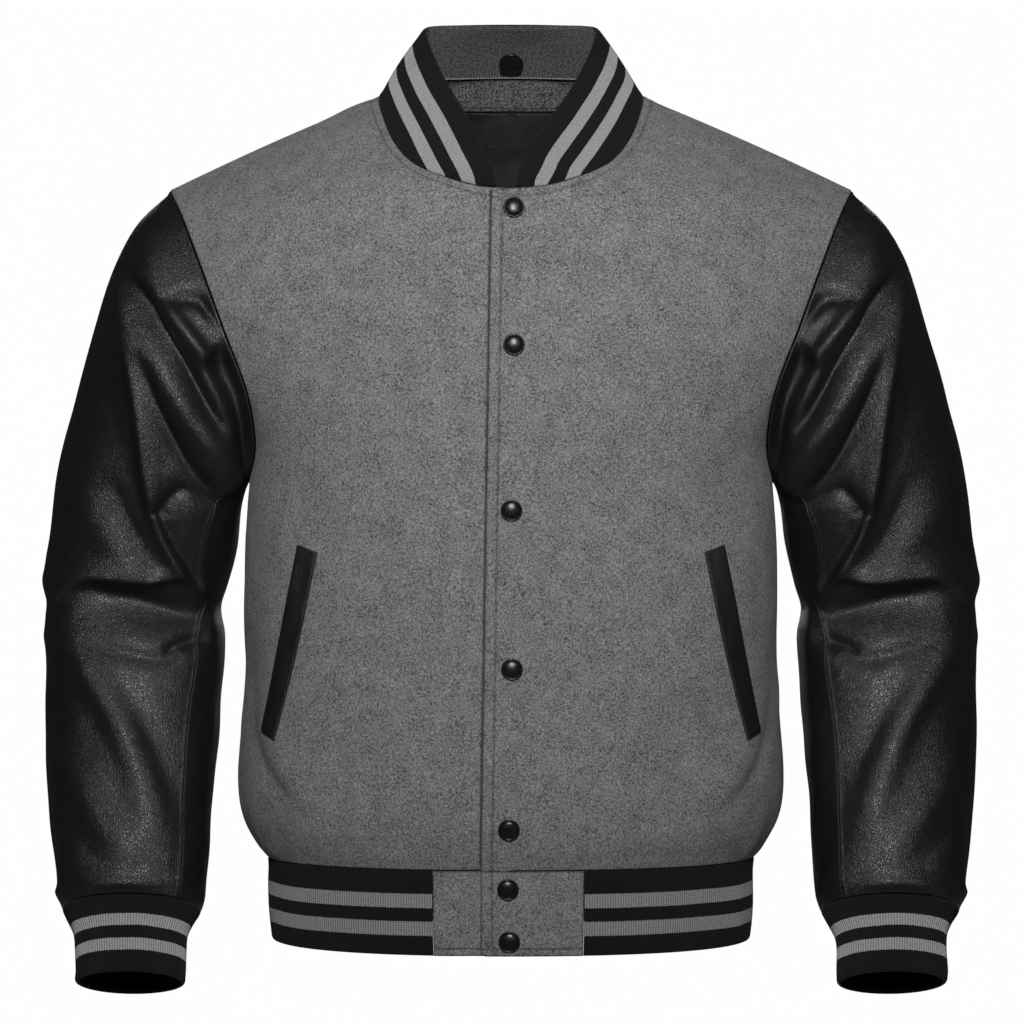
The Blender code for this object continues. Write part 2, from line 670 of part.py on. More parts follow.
# the snap inside the collar has a flat foot and a round head
on_inner = Surface(inner)
spot, _, face, _ = on_inner.tree.ray_cast(Vector((0, 0, HOOD_SNAP_Z)), Vector((0, 1, 0)))
spot, n = on_inner.lay(spot, face, -FACE_RIB - 2.0)
DEE = [(10.0 * math.cos(math.radians(a)), 10.0 * math.sin(math.radians(a)) + 1.0) for a in range(-15, 196, 15)]
DEE += [(-9.0, -6.0), (-7.5, -8.5), (7.5, -8.5), (9.0, -6.0)]
DEE = [(-x, z) for x, z in DEE][::-1]
turned("hood_snap", spot, -n, DEE, ((0.92, 0), (1.0, 0.8), (0.85, 2.0), (0, 2.8)), "enamel")
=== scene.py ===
"""The looks of a snap-front varsity jacket, filled out with no wearer: wool body, leather sleeves, striped rib.

Each sewn piece is a thin closed shell laid on its solid's form, with its folds, rolled edges and knit relief
in the mesh and its cloth in the nodes. Tables are in millimetres for one side (x counted outward).
"""
import math
import bpy
import numpy as np
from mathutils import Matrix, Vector
from mathutils.bvhtree import BVHTree


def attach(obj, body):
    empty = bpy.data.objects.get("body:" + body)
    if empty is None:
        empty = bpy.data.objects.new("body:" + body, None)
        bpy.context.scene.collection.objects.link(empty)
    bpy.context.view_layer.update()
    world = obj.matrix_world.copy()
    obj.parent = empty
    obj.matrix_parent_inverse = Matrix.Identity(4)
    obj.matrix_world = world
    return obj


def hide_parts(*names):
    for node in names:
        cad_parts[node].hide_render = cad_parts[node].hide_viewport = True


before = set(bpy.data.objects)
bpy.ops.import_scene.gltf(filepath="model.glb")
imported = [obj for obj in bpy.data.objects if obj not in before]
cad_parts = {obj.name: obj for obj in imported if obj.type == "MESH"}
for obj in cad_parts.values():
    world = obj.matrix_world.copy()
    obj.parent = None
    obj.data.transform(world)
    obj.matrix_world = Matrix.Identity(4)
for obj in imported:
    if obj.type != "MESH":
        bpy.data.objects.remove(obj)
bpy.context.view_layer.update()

MM = 0.001
WOOL, LEATHER, RIB, FACE_RIB, SATIN = 2.0, 1.5, 2.4, 1.2, 0.8
HEM_Z = -580.0
EDGE_TOP, EDGE_LOW = 15.5, 23.5
UNDERLAP, LAP_STEP = 18.0, 2.7
LAP_FROM, LAP_TO = 50.0, 27.0
TAB_RIGHT, TAB_LEFT = 60.5, 56.5
CAP_R = 8.3
SNAPS = ((2.3, -72.3), (2.3, -178.0), (0.4, -304.5), (0.8, -425.5), (-1.5, -547.5), (-2.3, -594.0), (-1.2, -634.0))
HOOD_SNAP_Z = 63.5
BODY_FULL, COLLAR_BULGE, GAP = 0.63, 3.0, 0.46

# ---------------------------------------------------------------- the pattern, as the solids have it
BODY = np.array([
    (-580, 194.0, 124.0, 112.0), (-568, 204.0, 129.0, 116.5), (-552, 213.0, 132.5, 119.0),
    (-534, 217.3, 134.0, 120.5), (-508, 218.0, 134.0, 120.0), (-470, 215.0, 132.5, 116.0),
    (-424, 212.0, 131.0, 112.0), (-376, 213.0, 130.0, 110.5), (-330, 212.5, 129.0, 111.5),
    (-280, 209.0, 128.5, 115.0)], float)
HEM = np.array([(-645.5, 190.5, 123.0, 110.0), (-620, 192.6, 123.2, 111.0), (-590, 192.8, 123.4, 111.2),
                (-580, 194.0, 124.0, 112.0)], float)
FRONT_LINE = np.array([(-330, 129.0), (-280, 128.5), (-220, 127.6), (-150, 124.8), (-100, 120.6), (-57, 115.0)], float)
BACK_LINE = np.array([(-330, 111.5), (-280, 115.0), (-220, 120.0), (-150, 125.0), (-90, 126.0), (-30, 121.0),
                      (20, 108.0), (54, 97.0)], float)
NECK = np.array([
    (0, 0.0, -115.0, -57.0), (1, 26.3, -112.0, -54.6), (2, 50.9, -104.0, -47.2), (3, 65.8, -95.0, -40.7),
    (4, 79.0, -82.5, -31.8), (5, 91.5, -61.0, -15.5), (6, 100.0, -33.0, 4.5), (7, 106.0, 0.0, 25.0),
    (8, 103.5, 18.0, 29.5), (9, 95.5, 42.0, 37.5), (10, 72.0, 71.5, 48.0), (11, 38.0, 91.0, 52.5),
    (12, 0.0, 97.0, 54.0)], float)
ARMHOLE = np.array([
    (0, 273.0, 0.0, -48.0), (30, 259.5, -37.0, -73.0), (60, 241.5, -65.0, -116.0), (90, 224.0, -78.0, -162.0),
    (120, 205.5, -71.0, -213.0), (150, 201.0, -44.0, -254.0), (180, 209.0, 0.0, -280.0),
    (210, 206.0, 47.0, -258.0), (240, 214.0, 75.0, -214.0), (270, 232.0, 84.0, -160.0),
    (300, 248.0, 72.0, -110.0), (330, 263.0, 39.0, -68.0), (360, 273.0, 0.0, -48.0)], float)
FRONT_ROWS = np.array([
    (0, 57, 0.00, -0.370, 57, 0.890, 0.00, -0.430), (10, 48, 0.03, 0.020, 60, 0.915, 0.10, -0.390),
    (20, 48, 0.05, 0.020, 60, 0.910, 0.20, -0.360), (39, 62, 0.02, -0.060, 58, 0.890, 0.34, -0.300),
    (57, 85, 0.02, -0.100, 55, 0.860, 0.45, -0.240), (75, 108, 0.03, -0.060, 52, 0.830, 0.52, -0.200),
    (90, 118, 0.00, 0.000, 50, 0.800, 0.58, -0.150), (120, 126, 0.00, 0.000, 43, 0.580, 0.80, -0.100),
    (150, 130, 0.00, 0.000, 46, 0.200, 0.97, -0.060), (180, 131.7, 0.00, 0.000, 81, 0.000, 1.00, 0.000)], float)
BACK_ROWS = np.array([
    (180, 131.7, 0.00, 0.000, 72.5, 0.000, -1.00, 0.000), (210, 128, 0.00, 0.000, 44, 0.180, -0.98, -0.080),
    (240, 124, 0.00, 0.000, 42, 0.600, -0.78, -0.100), (270, 108, -0.02, -0.060, 48, 0.820, -0.55, -0.160),
    (285, 70, -0.05, -0.200, 52, 0.850, -0.50, -0.200), (300, 66, 0.02, -0.300, 54, 0.870, -0.42, -0.240),
    (330, 54, 0.04, -0.400, 58, 0.900, -0.22, -0.350), (345, 54, 0.02, -0.430, 58, 0.912, -0.10, -0.385),
    (360, 57, 0.00, -0.370, 57, 0.890, 0.00, -0.430)], float)
FRONT_START = np.array([(75, -57.0), (90, -95.0), (105, -128.0), (120, -158.0), (135, -187.0), (150, -215.0),
                        (165, -244.0), (172.5, -262.0), (180, -280.0)], float)
BACK_START = np.array([(180, -280.0), (187.5, -264.0), (195, -248.0), (202.5, -231.0), (210, -213.0), (225, -168.0),
                       (240, -116.0), (255, -60.0), (270, 0.0), (285, 54.0)], float)
SLEEVE = np.array([
    (296.0, -72.0, 212.0, -287.0, 2.0, 84.0, 0, 160, 214), (314.0, -101.0, 215.0, -297.0, 4.0, 82.0, 0, 153, 220),
    (328.5, -142.0, 217.0, -308.0, 6.0, 80.0, 0, 146, 227), (356.5, -245.0, 220.0, -334.0, 13.0, 73.0, 2, 136, 237),
    (374.0, -340.0, 229.0, -366.0, 20.0, 66.0, 5, 140, 240), (375.5, -368.0, 233.5, -382.0, 18.0, 61.0, 8, 150, 240),
    (374.0, -404.0, 230.0, -404.0, 15.0, 63.0, 11, 143, 240), (370.0, -492.0, 233.5, -487.0, -12.0, 58.5, 20, 135, 240),
    (364.5, -540.0, 236.0, -536.0, -31.0, 55.0, 22, 135, 240), (354.5, -604.0, 238.0, -604.0, -60.0, 48.0, 24, 135, 240),
    (350.0, -616.5, 242.0, -616.5, -66.0, 40.5, 25, 135, 240)], float)
CUFF = np.array([
    (350.0, -616.5, 242.0, -616.5, -66.0, 40.5, 25), (343.5, -626.5, 248.5, -626.5, -71.5, 36.0, 25),
    (338.5, -638.0, 252.8, -638.0, -78.5, 33.0, 25), (336.5, -669.5, 252.0, -669.5, -93.0, 31.5, 25)], float)
COLLAR_RIGHT = np.array([
    (1.00, 10.8, -109.0, -55.0), (1.48, 13.0, -104.5, -43.0), (2.00, 17.0, -97.0, -33.0), (3.00, 21.0, -87.0, -24.0),
    (4.00, 28.0, -75.0, -7.5), (5.00, 39.0, -45.0, 15.0), (6.00, 51.0, -12.0, 38.0), (7.00, 61.0, 22.0, 61.5),
    (8.00, 69.0, 36.0, 82.0), (9.00, 69.0, 49.0, 89.5), (9.50, 60.0, 56.0, 92.0), (10.00, 46.0, 60.0, 93.0),
    (11.00, 22.0, 63.0, 94.0), (12.00, 0.0, 63.5, 94.2)], float)
COLLAR_LEFT = np.array([
    (0.47, 3.1, -111.0, -54.8), (0.97, 5.2, -106.0, -43.5), (1.60, 9.3, -99.0, -34.0), (2.33, 12.5, -90.0, -24.5),
    (3.55, 23.0, -76.0, -7.5), (4.80, 37.0, -46.0, 14.5), (5.85, 50.5, -13.0, 38.0), (7.00, 61.0, 22.0, 61.5),
    (8.00, 69.0, 36.0, 82.0), (9.00, 69.0, 49.0, 89.5), (9.50, 60.0, 56.0, 92.0), (10.00, 46.0, 60.0, 93.0),
    (11.00, 22.0, 63.0, 94.0), (12.00, 0.0, 63.5, 94.2)], float)
WELT = np.array([(164.5, -330.5), (148.5, -336.5), (193.5, -476.0), (182.5, -483.0)], float)


# ---------------------------------------------------------------- curves
def along(table, at, keys=None):
    """The table's columns at values of its first (or at keys), on a smooth curve through the rows."""
    rows = table[:, 1:] if keys is None else table
    keys = table[:, 0] if keys is None else np.asarray(keys, float)
    at = np.asarray(at, float)
    i = np.clip(np.searchsorted(keys, at) - 1, 0, len(keys) - 2)
    lo, hi = np.maximum(np.arange(len(keys)) - 1, 0), np.minimum(np.arange(len(keys)) + 1, len(keys) - 1)
    span = (keys[hi] - keys[lo]).reshape((-1,) + (1,) * (rows.ndim - 1))
    slope = (rows[hi] - rows[lo]) / span
    h = (keys[i + 1] - keys[i])
    t = (at - keys[i]) / h
    more = (1,) * (rows.ndim - 1)
    t, h = t.reshape(t.shape + more), h.reshape(h.shape + more)
    return ((2 * t**3 - 3 * t**2 + 1) * rows[i] + (t**3 - 2 * t**2 + t) * h * slope[i]
            + (3 * t**2 - 2 * t**3) * rows[i + 1] + (t**3 - t**2) * h * slope[i + 1])


def unit(v):
    return v / np.maximum(np.linalg.norm(v, axis=-1, keepdims=True), 1e-12)


def bezier(row, t):
    """Points of one row's curve at each t; row is four handles."""
    t = np.asarray(t, float)[..., None]
    s = 1 - t
    return s**3 * row[0] + 3 * s * s * t * row[1] + 3 * s * t * t * row[2] + t**3 * row[3]


def smooth01(x):
    x = np.clip(x, 0, 1)
    return x * x * (3 - 2 * x)


def neck(step):
    return along(NECK, step)


def section(z, table, front):
    w, f, b = along(table, z)
    y = -f if front else b
    start, end = np.array((0, y, z)), np.array((w, 0, z))
    return start, start + (BODY_FULL * w, 0, 0), end + (0, BODY_FULL * y, 0), end


def upper_row(angle, start, front):
    ha, sy, sz, hb, ox, oy, oz = along(FRONT_ROWS if front else BACK_ROWS, angle)
    end = along(ARMHOLE, angle)
    return start, start + ha * unit(np.array((1, sy, sz))), end - hb * unit(np.array((ox, oy, oz))), end


def reach(row, x):
    lo, hi = 0.0, 1.0
    for _ in range(36):
        mid = (lo + hi) / 2
        lo, hi = (mid, hi) if bezier(row, mid)[0] < x else (lo, mid)
    return lo


def marks(length, step, edge=(0.0, 0.5, 1.2, 2.2, 3.6), both=True, at=()):
    """Places from 0 to length about a step apart, closer together at the ends and round each of `at`."""
    out = list(edge) + ([length - e for e in edge] if both else [length])
    a, b = edge[-1], length - (edge[-1] if both else 0)
    n = max(2, int(round((b - a) / step)))
    out += list(np.linspace(a, b, n + 1)[1:-1])
    for c in at:
        out = [o for o in out if abs(o - c) > 1.9] + [c - 1.5, c - 0.8, c, c + 0.8, c + 1.5]
    out = sorted(set(round(o, 4) for o in out))
    return np.array([o for k, o in enumerate(out) if k == 0 or o - out[k - 1] > 0.15])


# ---------------------------------------------------------------- folds
class Folds:
    """Troughs and ridges, each a line of (a, b, height) in its own plane, with a width on each side."""

    def __init__(self, rows, plane):
        self.plane, self.lines = plane, []
        for pts, wl, wr, power in rows:
            pts = np.array(pts, float)
            d = np.r_[0, np.cumsum(np.linalg.norm(np.diff(pts[:, :2], axis=0), axis=1))]
            fine = along(pts, np.linspace(0, d[-1], 8 * len(pts)), keys=d)
            self.lines.append((fine[:, :2], fine[:, 2], wl, wr, power))

    def height(self, p):
        q = self.plane(p) if callable(self.plane) else p[:, self.plane]
        total = np.zeros(len(p))
        for line, tall, wl, wr, power in self.lines:
            w = max(wl, wr)
            lo, hi = line.min(0) - 3 * w, line.max(0) + 3 * w
            near = np.where((q > lo).all(1) & (q < hi).all(1))[0]
            if not len(near):
                continue
            s = q[near]
            best, side, h = np.full(len(s), 1e9), np.ones(len(s)), np.zeros(len(s))
            for k in range(len(line) - 1):
                a, b = line[k], line[k + 1]
                ab = b - a
                t = np.clip(((s - a) @ ab) / max(ab @ ab, 1e-9), 0, 1)
                r = s - a - t[:, None] * ab
                d = np.hypot(r[:, 0], r[:, 1])
                closer = d < best
                best = np.where(closer, d, best)
                side = np.where(closer, ab[0] * r[:, 1] - ab[1] * r[:, 0], side)
                h = np.where(closer, tall[k] * (1 - t) + tall[k + 1] * t, h)
            # the two sides' widths meet softly at the ends of the line
            mix = smooth01(0.5 + 0.5 * side / (np.abs(side) + 0.15 * w * np.linalg.norm(line[1] - line[0])))
            width = wr * (1 - mix) + wl * mix
            total[near] += h * np.exp(-(best / width) ** power)
        return total


def front_view(p):
    """x and z as they show from the front, from 2.7 m away at the jacket's middle height."""
    f = 2700 / (2700 + p[:, 1])
    return np.stack([p[:, 0] * f, (p[:, 2] + 305.6) * f - 305.6], 1)


def front_folds(rows):
    """Folds laid out on the front view's own grid of 0.8 mm, from its top left corner, centre line at 511."""
    return Folds([([((511 - a) * 0.8, (130 - b) * 0.8, h) for a, b, h in pts], wl, wr, pw)
                  for pts, wl, wr, pw in rows], front_view)


# Sleeve folds seen from the front, from the shoulder down. Each line runs downward or away from the outer edge;
# the first width is on its outer side (toward the outer edge), the second on its inner side.
SLEEVE_FRONT = front_folds([
    # the flat, turned-away plane outside the long ridge
    ([(102, 272, 0), (100, 300, -2.0), (102, 345, -2.8), (107, 395, -2.8), (115, 440, -2.2), (123, 480, -1.0), (130, 504, 0)],
     22, 9, 1.9),
    # long ridge from below the cap to the bend of the elbow
    ([(116, 270, 0), (119, 284, 5.0), (125, 310, 8.5), (131, 350, 9.5), (138, 392, 9.5), (143, 432, 10.0),
      (147, 468, 11.0), (153, 502, 11.5), (163, 534, 10.5), (177, 563, 8.5), (193, 586, 5.0), (212, 606, 0)], 6.5, 13, 1.8),
    # trough from the ridge's head down to the underarm
    ([(120, 268, 0), (131, 281, -5.0), (146, 303, -8.5), (162, 329, -9.5), (180, 358, -10.0), (197, 388, -9.5),
      (212, 414, -7.0), (230, 438, 0)], 7.5, 5.5, 1.6),
    # ridge beside it, ending in the dark notch
    ([(166, 298, 0), (170, 308, 5.5), (176, 319, 8.0), (187, 334, 9.5), (197, 347, 10.0), (204, 357, 9.0),
      (209, 372, 5.0), (216, 396, 3.4), (228, 424, 1.6), (236, 446, 0)], 9.5, 7, 1.8),
    # arc below the cap seam, and the small swell inside it
    ([(170, 312, 0), (177, 301, -3.5), (190, 297, -6.0), (204, 303, -6.5), (214, 317, -5.0), (225, 338, 0)], 6.5, 6, 1.7),
    ([(182, 306, 0), (192, 310, 1.6), (204, 319, 2.6), (217, 330, 2.0), (226, 340, 0)], 6, 5.5, 1.9),
    # notch at the underarm
    ([(206, 356, 0), (213, 362, -9.0), (226, 378, -12.5), (240, 406, -12.0), (248, 444, -8.5), (251, 480, -4.5), (252, 506, 0)],
     7.5, 26, 1.9),
    # broad swell between ridge and trough, with its own shallow valley
    ([(138, 318, 0), (152, 344, 5.5), (171, 384, 9.0), (191, 418, 11.0), (212, 450, 11.5), (228, 478, 9.0), (238, 498, 0)],
     13, 14, 2.3),
    ([(141, 350, 0), (147, 374, -3.5), (156, 404, -5.5), (170, 434, -6.5), (186, 462, -6.5), (205, 484, -4.5),
      (220, 492, 0)], 6.5, 5.5, 1.7),
    # hollow under the swell
    ([(168, 488, 0), (184, 490, -3.5), (204, 498, -5.0), (224, 506, -3.0), (236, 510, 0)], 6, 9, 1.7),
    # notch inside the ridge, and the trough that runs from it to the elbow
    ([(188, 488, 0), (178, 493, -4.0), (167, 501, -6.5), (159, 509, -7.0), (156, 518, 0)], 6, 7, 1.6),
    ([(157, 506, 0), (161, 518, -8.5), (171, 541, -9.5), (184, 562, -8.0), (194, 579, -5.0), (201, 590, 0)], 5.5, 9, 1.6),
    # outer half: low ridge, and the shallow trough between it and the long ridge
    ([(66, 446, 0), (74, 478, 1.2), (84, 506, 2.6), (100, 528, 3.6), (118, 547, 4.0), (136, 562, 3.2), (150, 576, 0)],
     15, 17, 1.9),
    ([(106, 466, 0), (115, 493, -3.0), (127, 521, -4.5), (140, 547, -5.0), (152, 564, -3.5), (160, 576, 0)], 13, 8, 1.8),
    # elbow: the ridge that lies across, and the deep trough under it
    ([(52, 604, 0), (59, 594, 3.5), (74, 583, 7.0), (92, 577, 8.0), (112, 578, 7.5), (135, 581, 7.5), (154, 580, 6.5),
      (172, 576, 4.0), (190, 572, 0)], 5, 13, 1.7),
    ([(60, 592, 0), (78, 591, -2.6), (104, 595, -9.5), (130, 598, -12.5), (155, 603, -12.5), (178, 609, -11.0),
      (198, 616, -6.5), (214, 618, 0)], 22, 7, 1.7),
    # small creases under the elbow
    ([(80, 636, 0), (98, 643, -1.8), (118, 650, -3.0), (146, 657, -3.8), (168, 658, -3.0), (182, 650, 0)], 8, 7, 1.6),
    ([(164, 656, 0), (172, 648, -4.0), (188, 642, -5.0), (204, 638, -3.5), (214, 636, 0)], 6.5, 6.5, 1.6),
    # long diagonal ridge of the forearm
    ([(56, 612, 0), (64, 634, 3.5), (76, 654, 5.5), (91, 677, 6.5), (106, 700, 7.0), (119, 724, 7.0), (130, 752, 6.5),
      (138, 782, 5.0), (145, 812, 2.5), (151, 842, 0)], 12, 14, 2.2),
    ([(112, 676, 0), (128, 698, -1.4), (146, 724, -2.4), (160, 754, -2.4), (169, 790, -1.4), (174, 818, 0)], 10, 12, 1.9),
    # lower ridges that run to the cuff
    ([(58, 742, 0), (66, 766, 1.6), (82, 792, 2.6), (103, 820, 2.8), (124, 846, 2.0), (140, 866, 0)], 13, 16, 1.9),
    ([(58, 796, 0), (68, 818, -1.4), (84, 842, -2.0), (100, 860, -1.5), (112, 874, 0)], 11, 12, 1.8),
    ([(146, 744, 0), (153, 780, 2.0), (158, 820, 3.0), (162, 856, 1.2), (164, 876, 0)], 14, 13, 1.9),
    ([(74, 889, 0), (92, 886, 2.4), (118, 883, 3.2), (142, 884, 2.4), (164, 888, 0)], 8, 5, 1.8),
])

# Folds on the back of the sleeve, x outward and z: drag lines from the underarm, slack over the elbow and the cuff.
SLEEVE_BACK = Folds([
    ([(252, -118, 0), (262, -150, 3.0), (276, -196, 4.5), (296, -246, 5.0), (318, -292, 3.5), (330, -322, 0)], 11, 13, 1.8),
    ([(238, -172, 0), (246, -196, -4.0), (260, -236, -6.0), (282, -280, -5.5), (304, -318, -3.5), (318, -342, 0)], 9, 9, 1.6),
    ([(226, -222, 0), (236, -246, 4.0), (250, -282, 5.0), (268, -316, 4.0), (290, -346, 0)], 9, 9, 1.7),
    ([(222, -262, 0), (232, -288, -4.5), (248, -322, -5.0), (266, -348, 0)], 7, 9, 1.6),
    ([(232, -352, 0), (250, -362, -4.0), (276, -366, -5.0), (304, -360, -4.0), (330, -346, 0)], 6, 9, 1.6),
    ([(236, -380, 0), (256, -392, 3.5), (284, -396, 4.5), (316, -388, 3.5), (346, -372, 0)], 9, 8, 1.8),
    ([(240, -404, 0), (262, -418, -3.5), (292, -424, -4.5), (322, -414, -3.0), (350, -396, 0)], 6, 8, 1.6),
    ([(352, -404, 0), (340, -438, 3.5), (322, -478, 5.0), (304, -520, 4.5), (292, -562, 3.0), (286, -592, 0)], 12, 12, 1.8),
    ([(326, -426, 0), (312, -456, -3.0), (292, -492, -4.0), (276, -528, -3.0), (266, -556, 0)], 8, 8, 1.7),
    ([(360, -500, 0), (350, -528, -2.5), (336, -560, -3.5), (322, -584, -2.0), (314, -598, 0)], 7, 8, 1.7),
    ([(258, -500, 0), (260, -530, 2.5), (266, -562, 3.0), (270, -590, 0)], 8, 8, 1.8),
    ([(258, -594, 0), (276, -597, 2.4), (300, -599, 3.0), (324, -597, 2.4), (342, -592, 0)], 5, 8, 1.8),
], [0, 2])
# Folds on its outer side, y and z
SLEEVE_SIDE = Folds([
    ([(-58, -354, 0), (-42, -359, 1.0), (-20, -362, 1.2), (14, -360, 2.0), (38, -354, 2.0), (54, -348, 0)], 9, 12, 1.9),
    ([(-60, -368, 0), (-42, -373, -1.0), (-18, -377, -1.2), (18, -376, -2.2), (42, -368, -2.4), (56, -362, 0)], 9, 10, 1.8),
    ([(-8, -404, 0), (6, -406, 1.2), (30, -400, 2.0), (46, -392, 0)], 8, 8, 1.8),
    ([(0, -436, 0), (12, -444, -1.5), (24, -446, -1.5), (36, -446, 0)], 7, 8, 1.7),
    ([(46, -150, 0), (36, -190, 2.5), (22, -236, 2.6), (4, -284, 1.4), (-8, -322, 0)], 14, 14, 1.9),
    ([(60, -200, 0), (50, -240, -2.5), (34, -284, -2.4), (18, -322, -1.2), (8, -340, 0)], 12, 12, 1.8),
    ([(6, -470, 0), (-8, -508, 1.4), (-30, -552, 1.6), (-52, -590, 0)], 14, 14, 1.9),
    ([(-30, -500, 0), (-44, -534, -1.4), (-62, -572, -1.4), (-74, -596, 0)], 12, 12, 1.8),
    ([(-84, -598, 0), (-70, -602, 2.0), (-50, -602, 2.4), (-34, -596, 0)], 4, 7, 1.8),
], [1, 2])
# Slack at the sides of the body above the hem band, and the drag below the underarm
BODY_FRONT = front_folds([
    ([(246, 618, 0), (247, 660, -2.0), (250, 705, -3.2), (256, 745, -4.0), (267, 774, -3.6), (283, 794, -2.2),
      (300, 806, 0)], 7, 8, 1.6),
    ([(256, 690, 0), (262, 730, 2.2), (274, 762, 3.0), (292, 786, 2.6), (316, 806, 1.6), (340, 818, 0)], 8, 16, 1.9),
    ([(300, 826, 0), (320, 812, -1.2), (346, 792, -1.6), (374, 772, -1.2), (400, 756, 0)], 16, 18, 1.9),
    ([(330, 846, 0), (356, 832, 1.2), (388, 812, 1.8), (420, 792, 1.0), (440, 780, 0)], 16, 18, 1.9),
    ([(262, 430, 0), (280, 452, -0.9), (306, 492, -1.3), (330, 540, -0.8), (344, 580, 0)], 16, 18, 1.9),
    ([(250, 470, 0), (262, 500, 0.9), (278, 548, 1.2), (290, 600, 0)], 12, 16, 1.9),
    ([(222, 330, 0), (240, 352, -0.9), (262, 384, -1.0), (282, 420, 0)], 12, 14, 1.9),
])
BODY_BACK = Folds([
    ([(214, -300, 0), (196, -330, -1.6), (172, -372, -2.2), (150, -420, -1.6), (136, -460, 0)], 16, 18, 1.9),
    ([(216, -340, 0), (204, -376, 1.4), (186, -424, 2.0), (170, -470, 0)], 14, 16, 1.9),
    ([(214, -470, 0), (208, -506, -2.2), (196, -538, -3.2), (176, -558, -2.4), (152, -568, 0)], 9, 12, 1.7),
    ([(196, -500, 0), (184, -528, 1.8), (162, -548, 2.4), (134, -560, 0)], 12, 16, 1.9),
    ([(226, -166, 0), (206, -182, -1.4), (178, -206, -1.8), (146, -226, 0)], 12, 16, 1.9),
    ([(120, -566, 0), (96, -548, -1.2), (66, -528, -1.6), (36, -514, 0)], 16, 18, 1.9),
    ([(60, -568, 0), (40, -552, 1.2), (10, -536, 1.6), (-24, -524, 0)], 16, 18, 1.9),
], [0, 2])


def ripple(p, wave, seed, stretch=(1, 1, 1)):
    """A smooth uneven surface: about -1 to 1, with humps about one wave across."""
    rng = np.random.default_rng(seed)
    k = unit(rng.normal(size=(18, 3))) * (2 * math.pi / (wave * rng.uniform(0.7, 1.5, (18, 1))))
    a = (p * np.array(stretch)) @ k.T + rng.uniform(0, 2 * math.pi, 18)
    return np.sin(a).sum(1) / 5.0


def curve_distance(p, curve):
    """Distance of each point from a line through the curve's points."""
    best = np.full(len(p), 1e9)
    for a, b in zip(curve, curve[1:]):
        ab = b - a
        near = np.where((np.abs(p - (a + b) / 2) < 40).all(1))[0]
        if len(near):
            q = p[near] - a
            t = np.clip(q @ ab / max(ab @ ab, 1e-9), 0, 1)
            best[near] = np.minimum(best[near], np.linalg.norm(q - t[:, None] * ab, axis=1))
    return best


def rolled(radius=1.8, drop=1.2):
    """An edge that turns in: the drop at each distance from it."""
    return lambda d: -drop * (1 - np.sqrt(np.clip(1 - (1 - np.minimum(d / radius, 1)) ** 2, 0, 1)))


def topstitched(at, deep=0.5, wide=0.9, puff=0.35, radius=1.8, drop=1.2):
    """A rolled edge with a row of stitches pulled down beside it and the cloth puffed between."""
    roll = rolled(radius, drop)
    return lambda d: (roll(d) - deep * np.exp(-((d - at) / wide) ** 2)
                      + puff * np.sin(math.pi * np.clip(d / at, 0, 1)) ** 2 * (d < at))


def beaded(tall=0.55, at=1.1, wide=0.8, drop=0.9):
    """A raised seam edge: a bead beside the seam."""
    roll = rolled(0.9, drop)
    return lambda d: roll(d) + tall * np.exp(-((d - at) / wide) ** 2)


def trunk(p):
    return p * (0, 0, 1)


def arm(p):
    down = np.clip((-164 - p[..., 2]) / 230, 0, 1)
    x = np.where(p[..., 0] < 0, -1, 1) * (240 + 60 * down)
    y = np.where(p[..., 2] > -380, 0, (p[..., 2] + 380) * 0.28)
    return np.stack([x, y, p[..., 2]], -1)


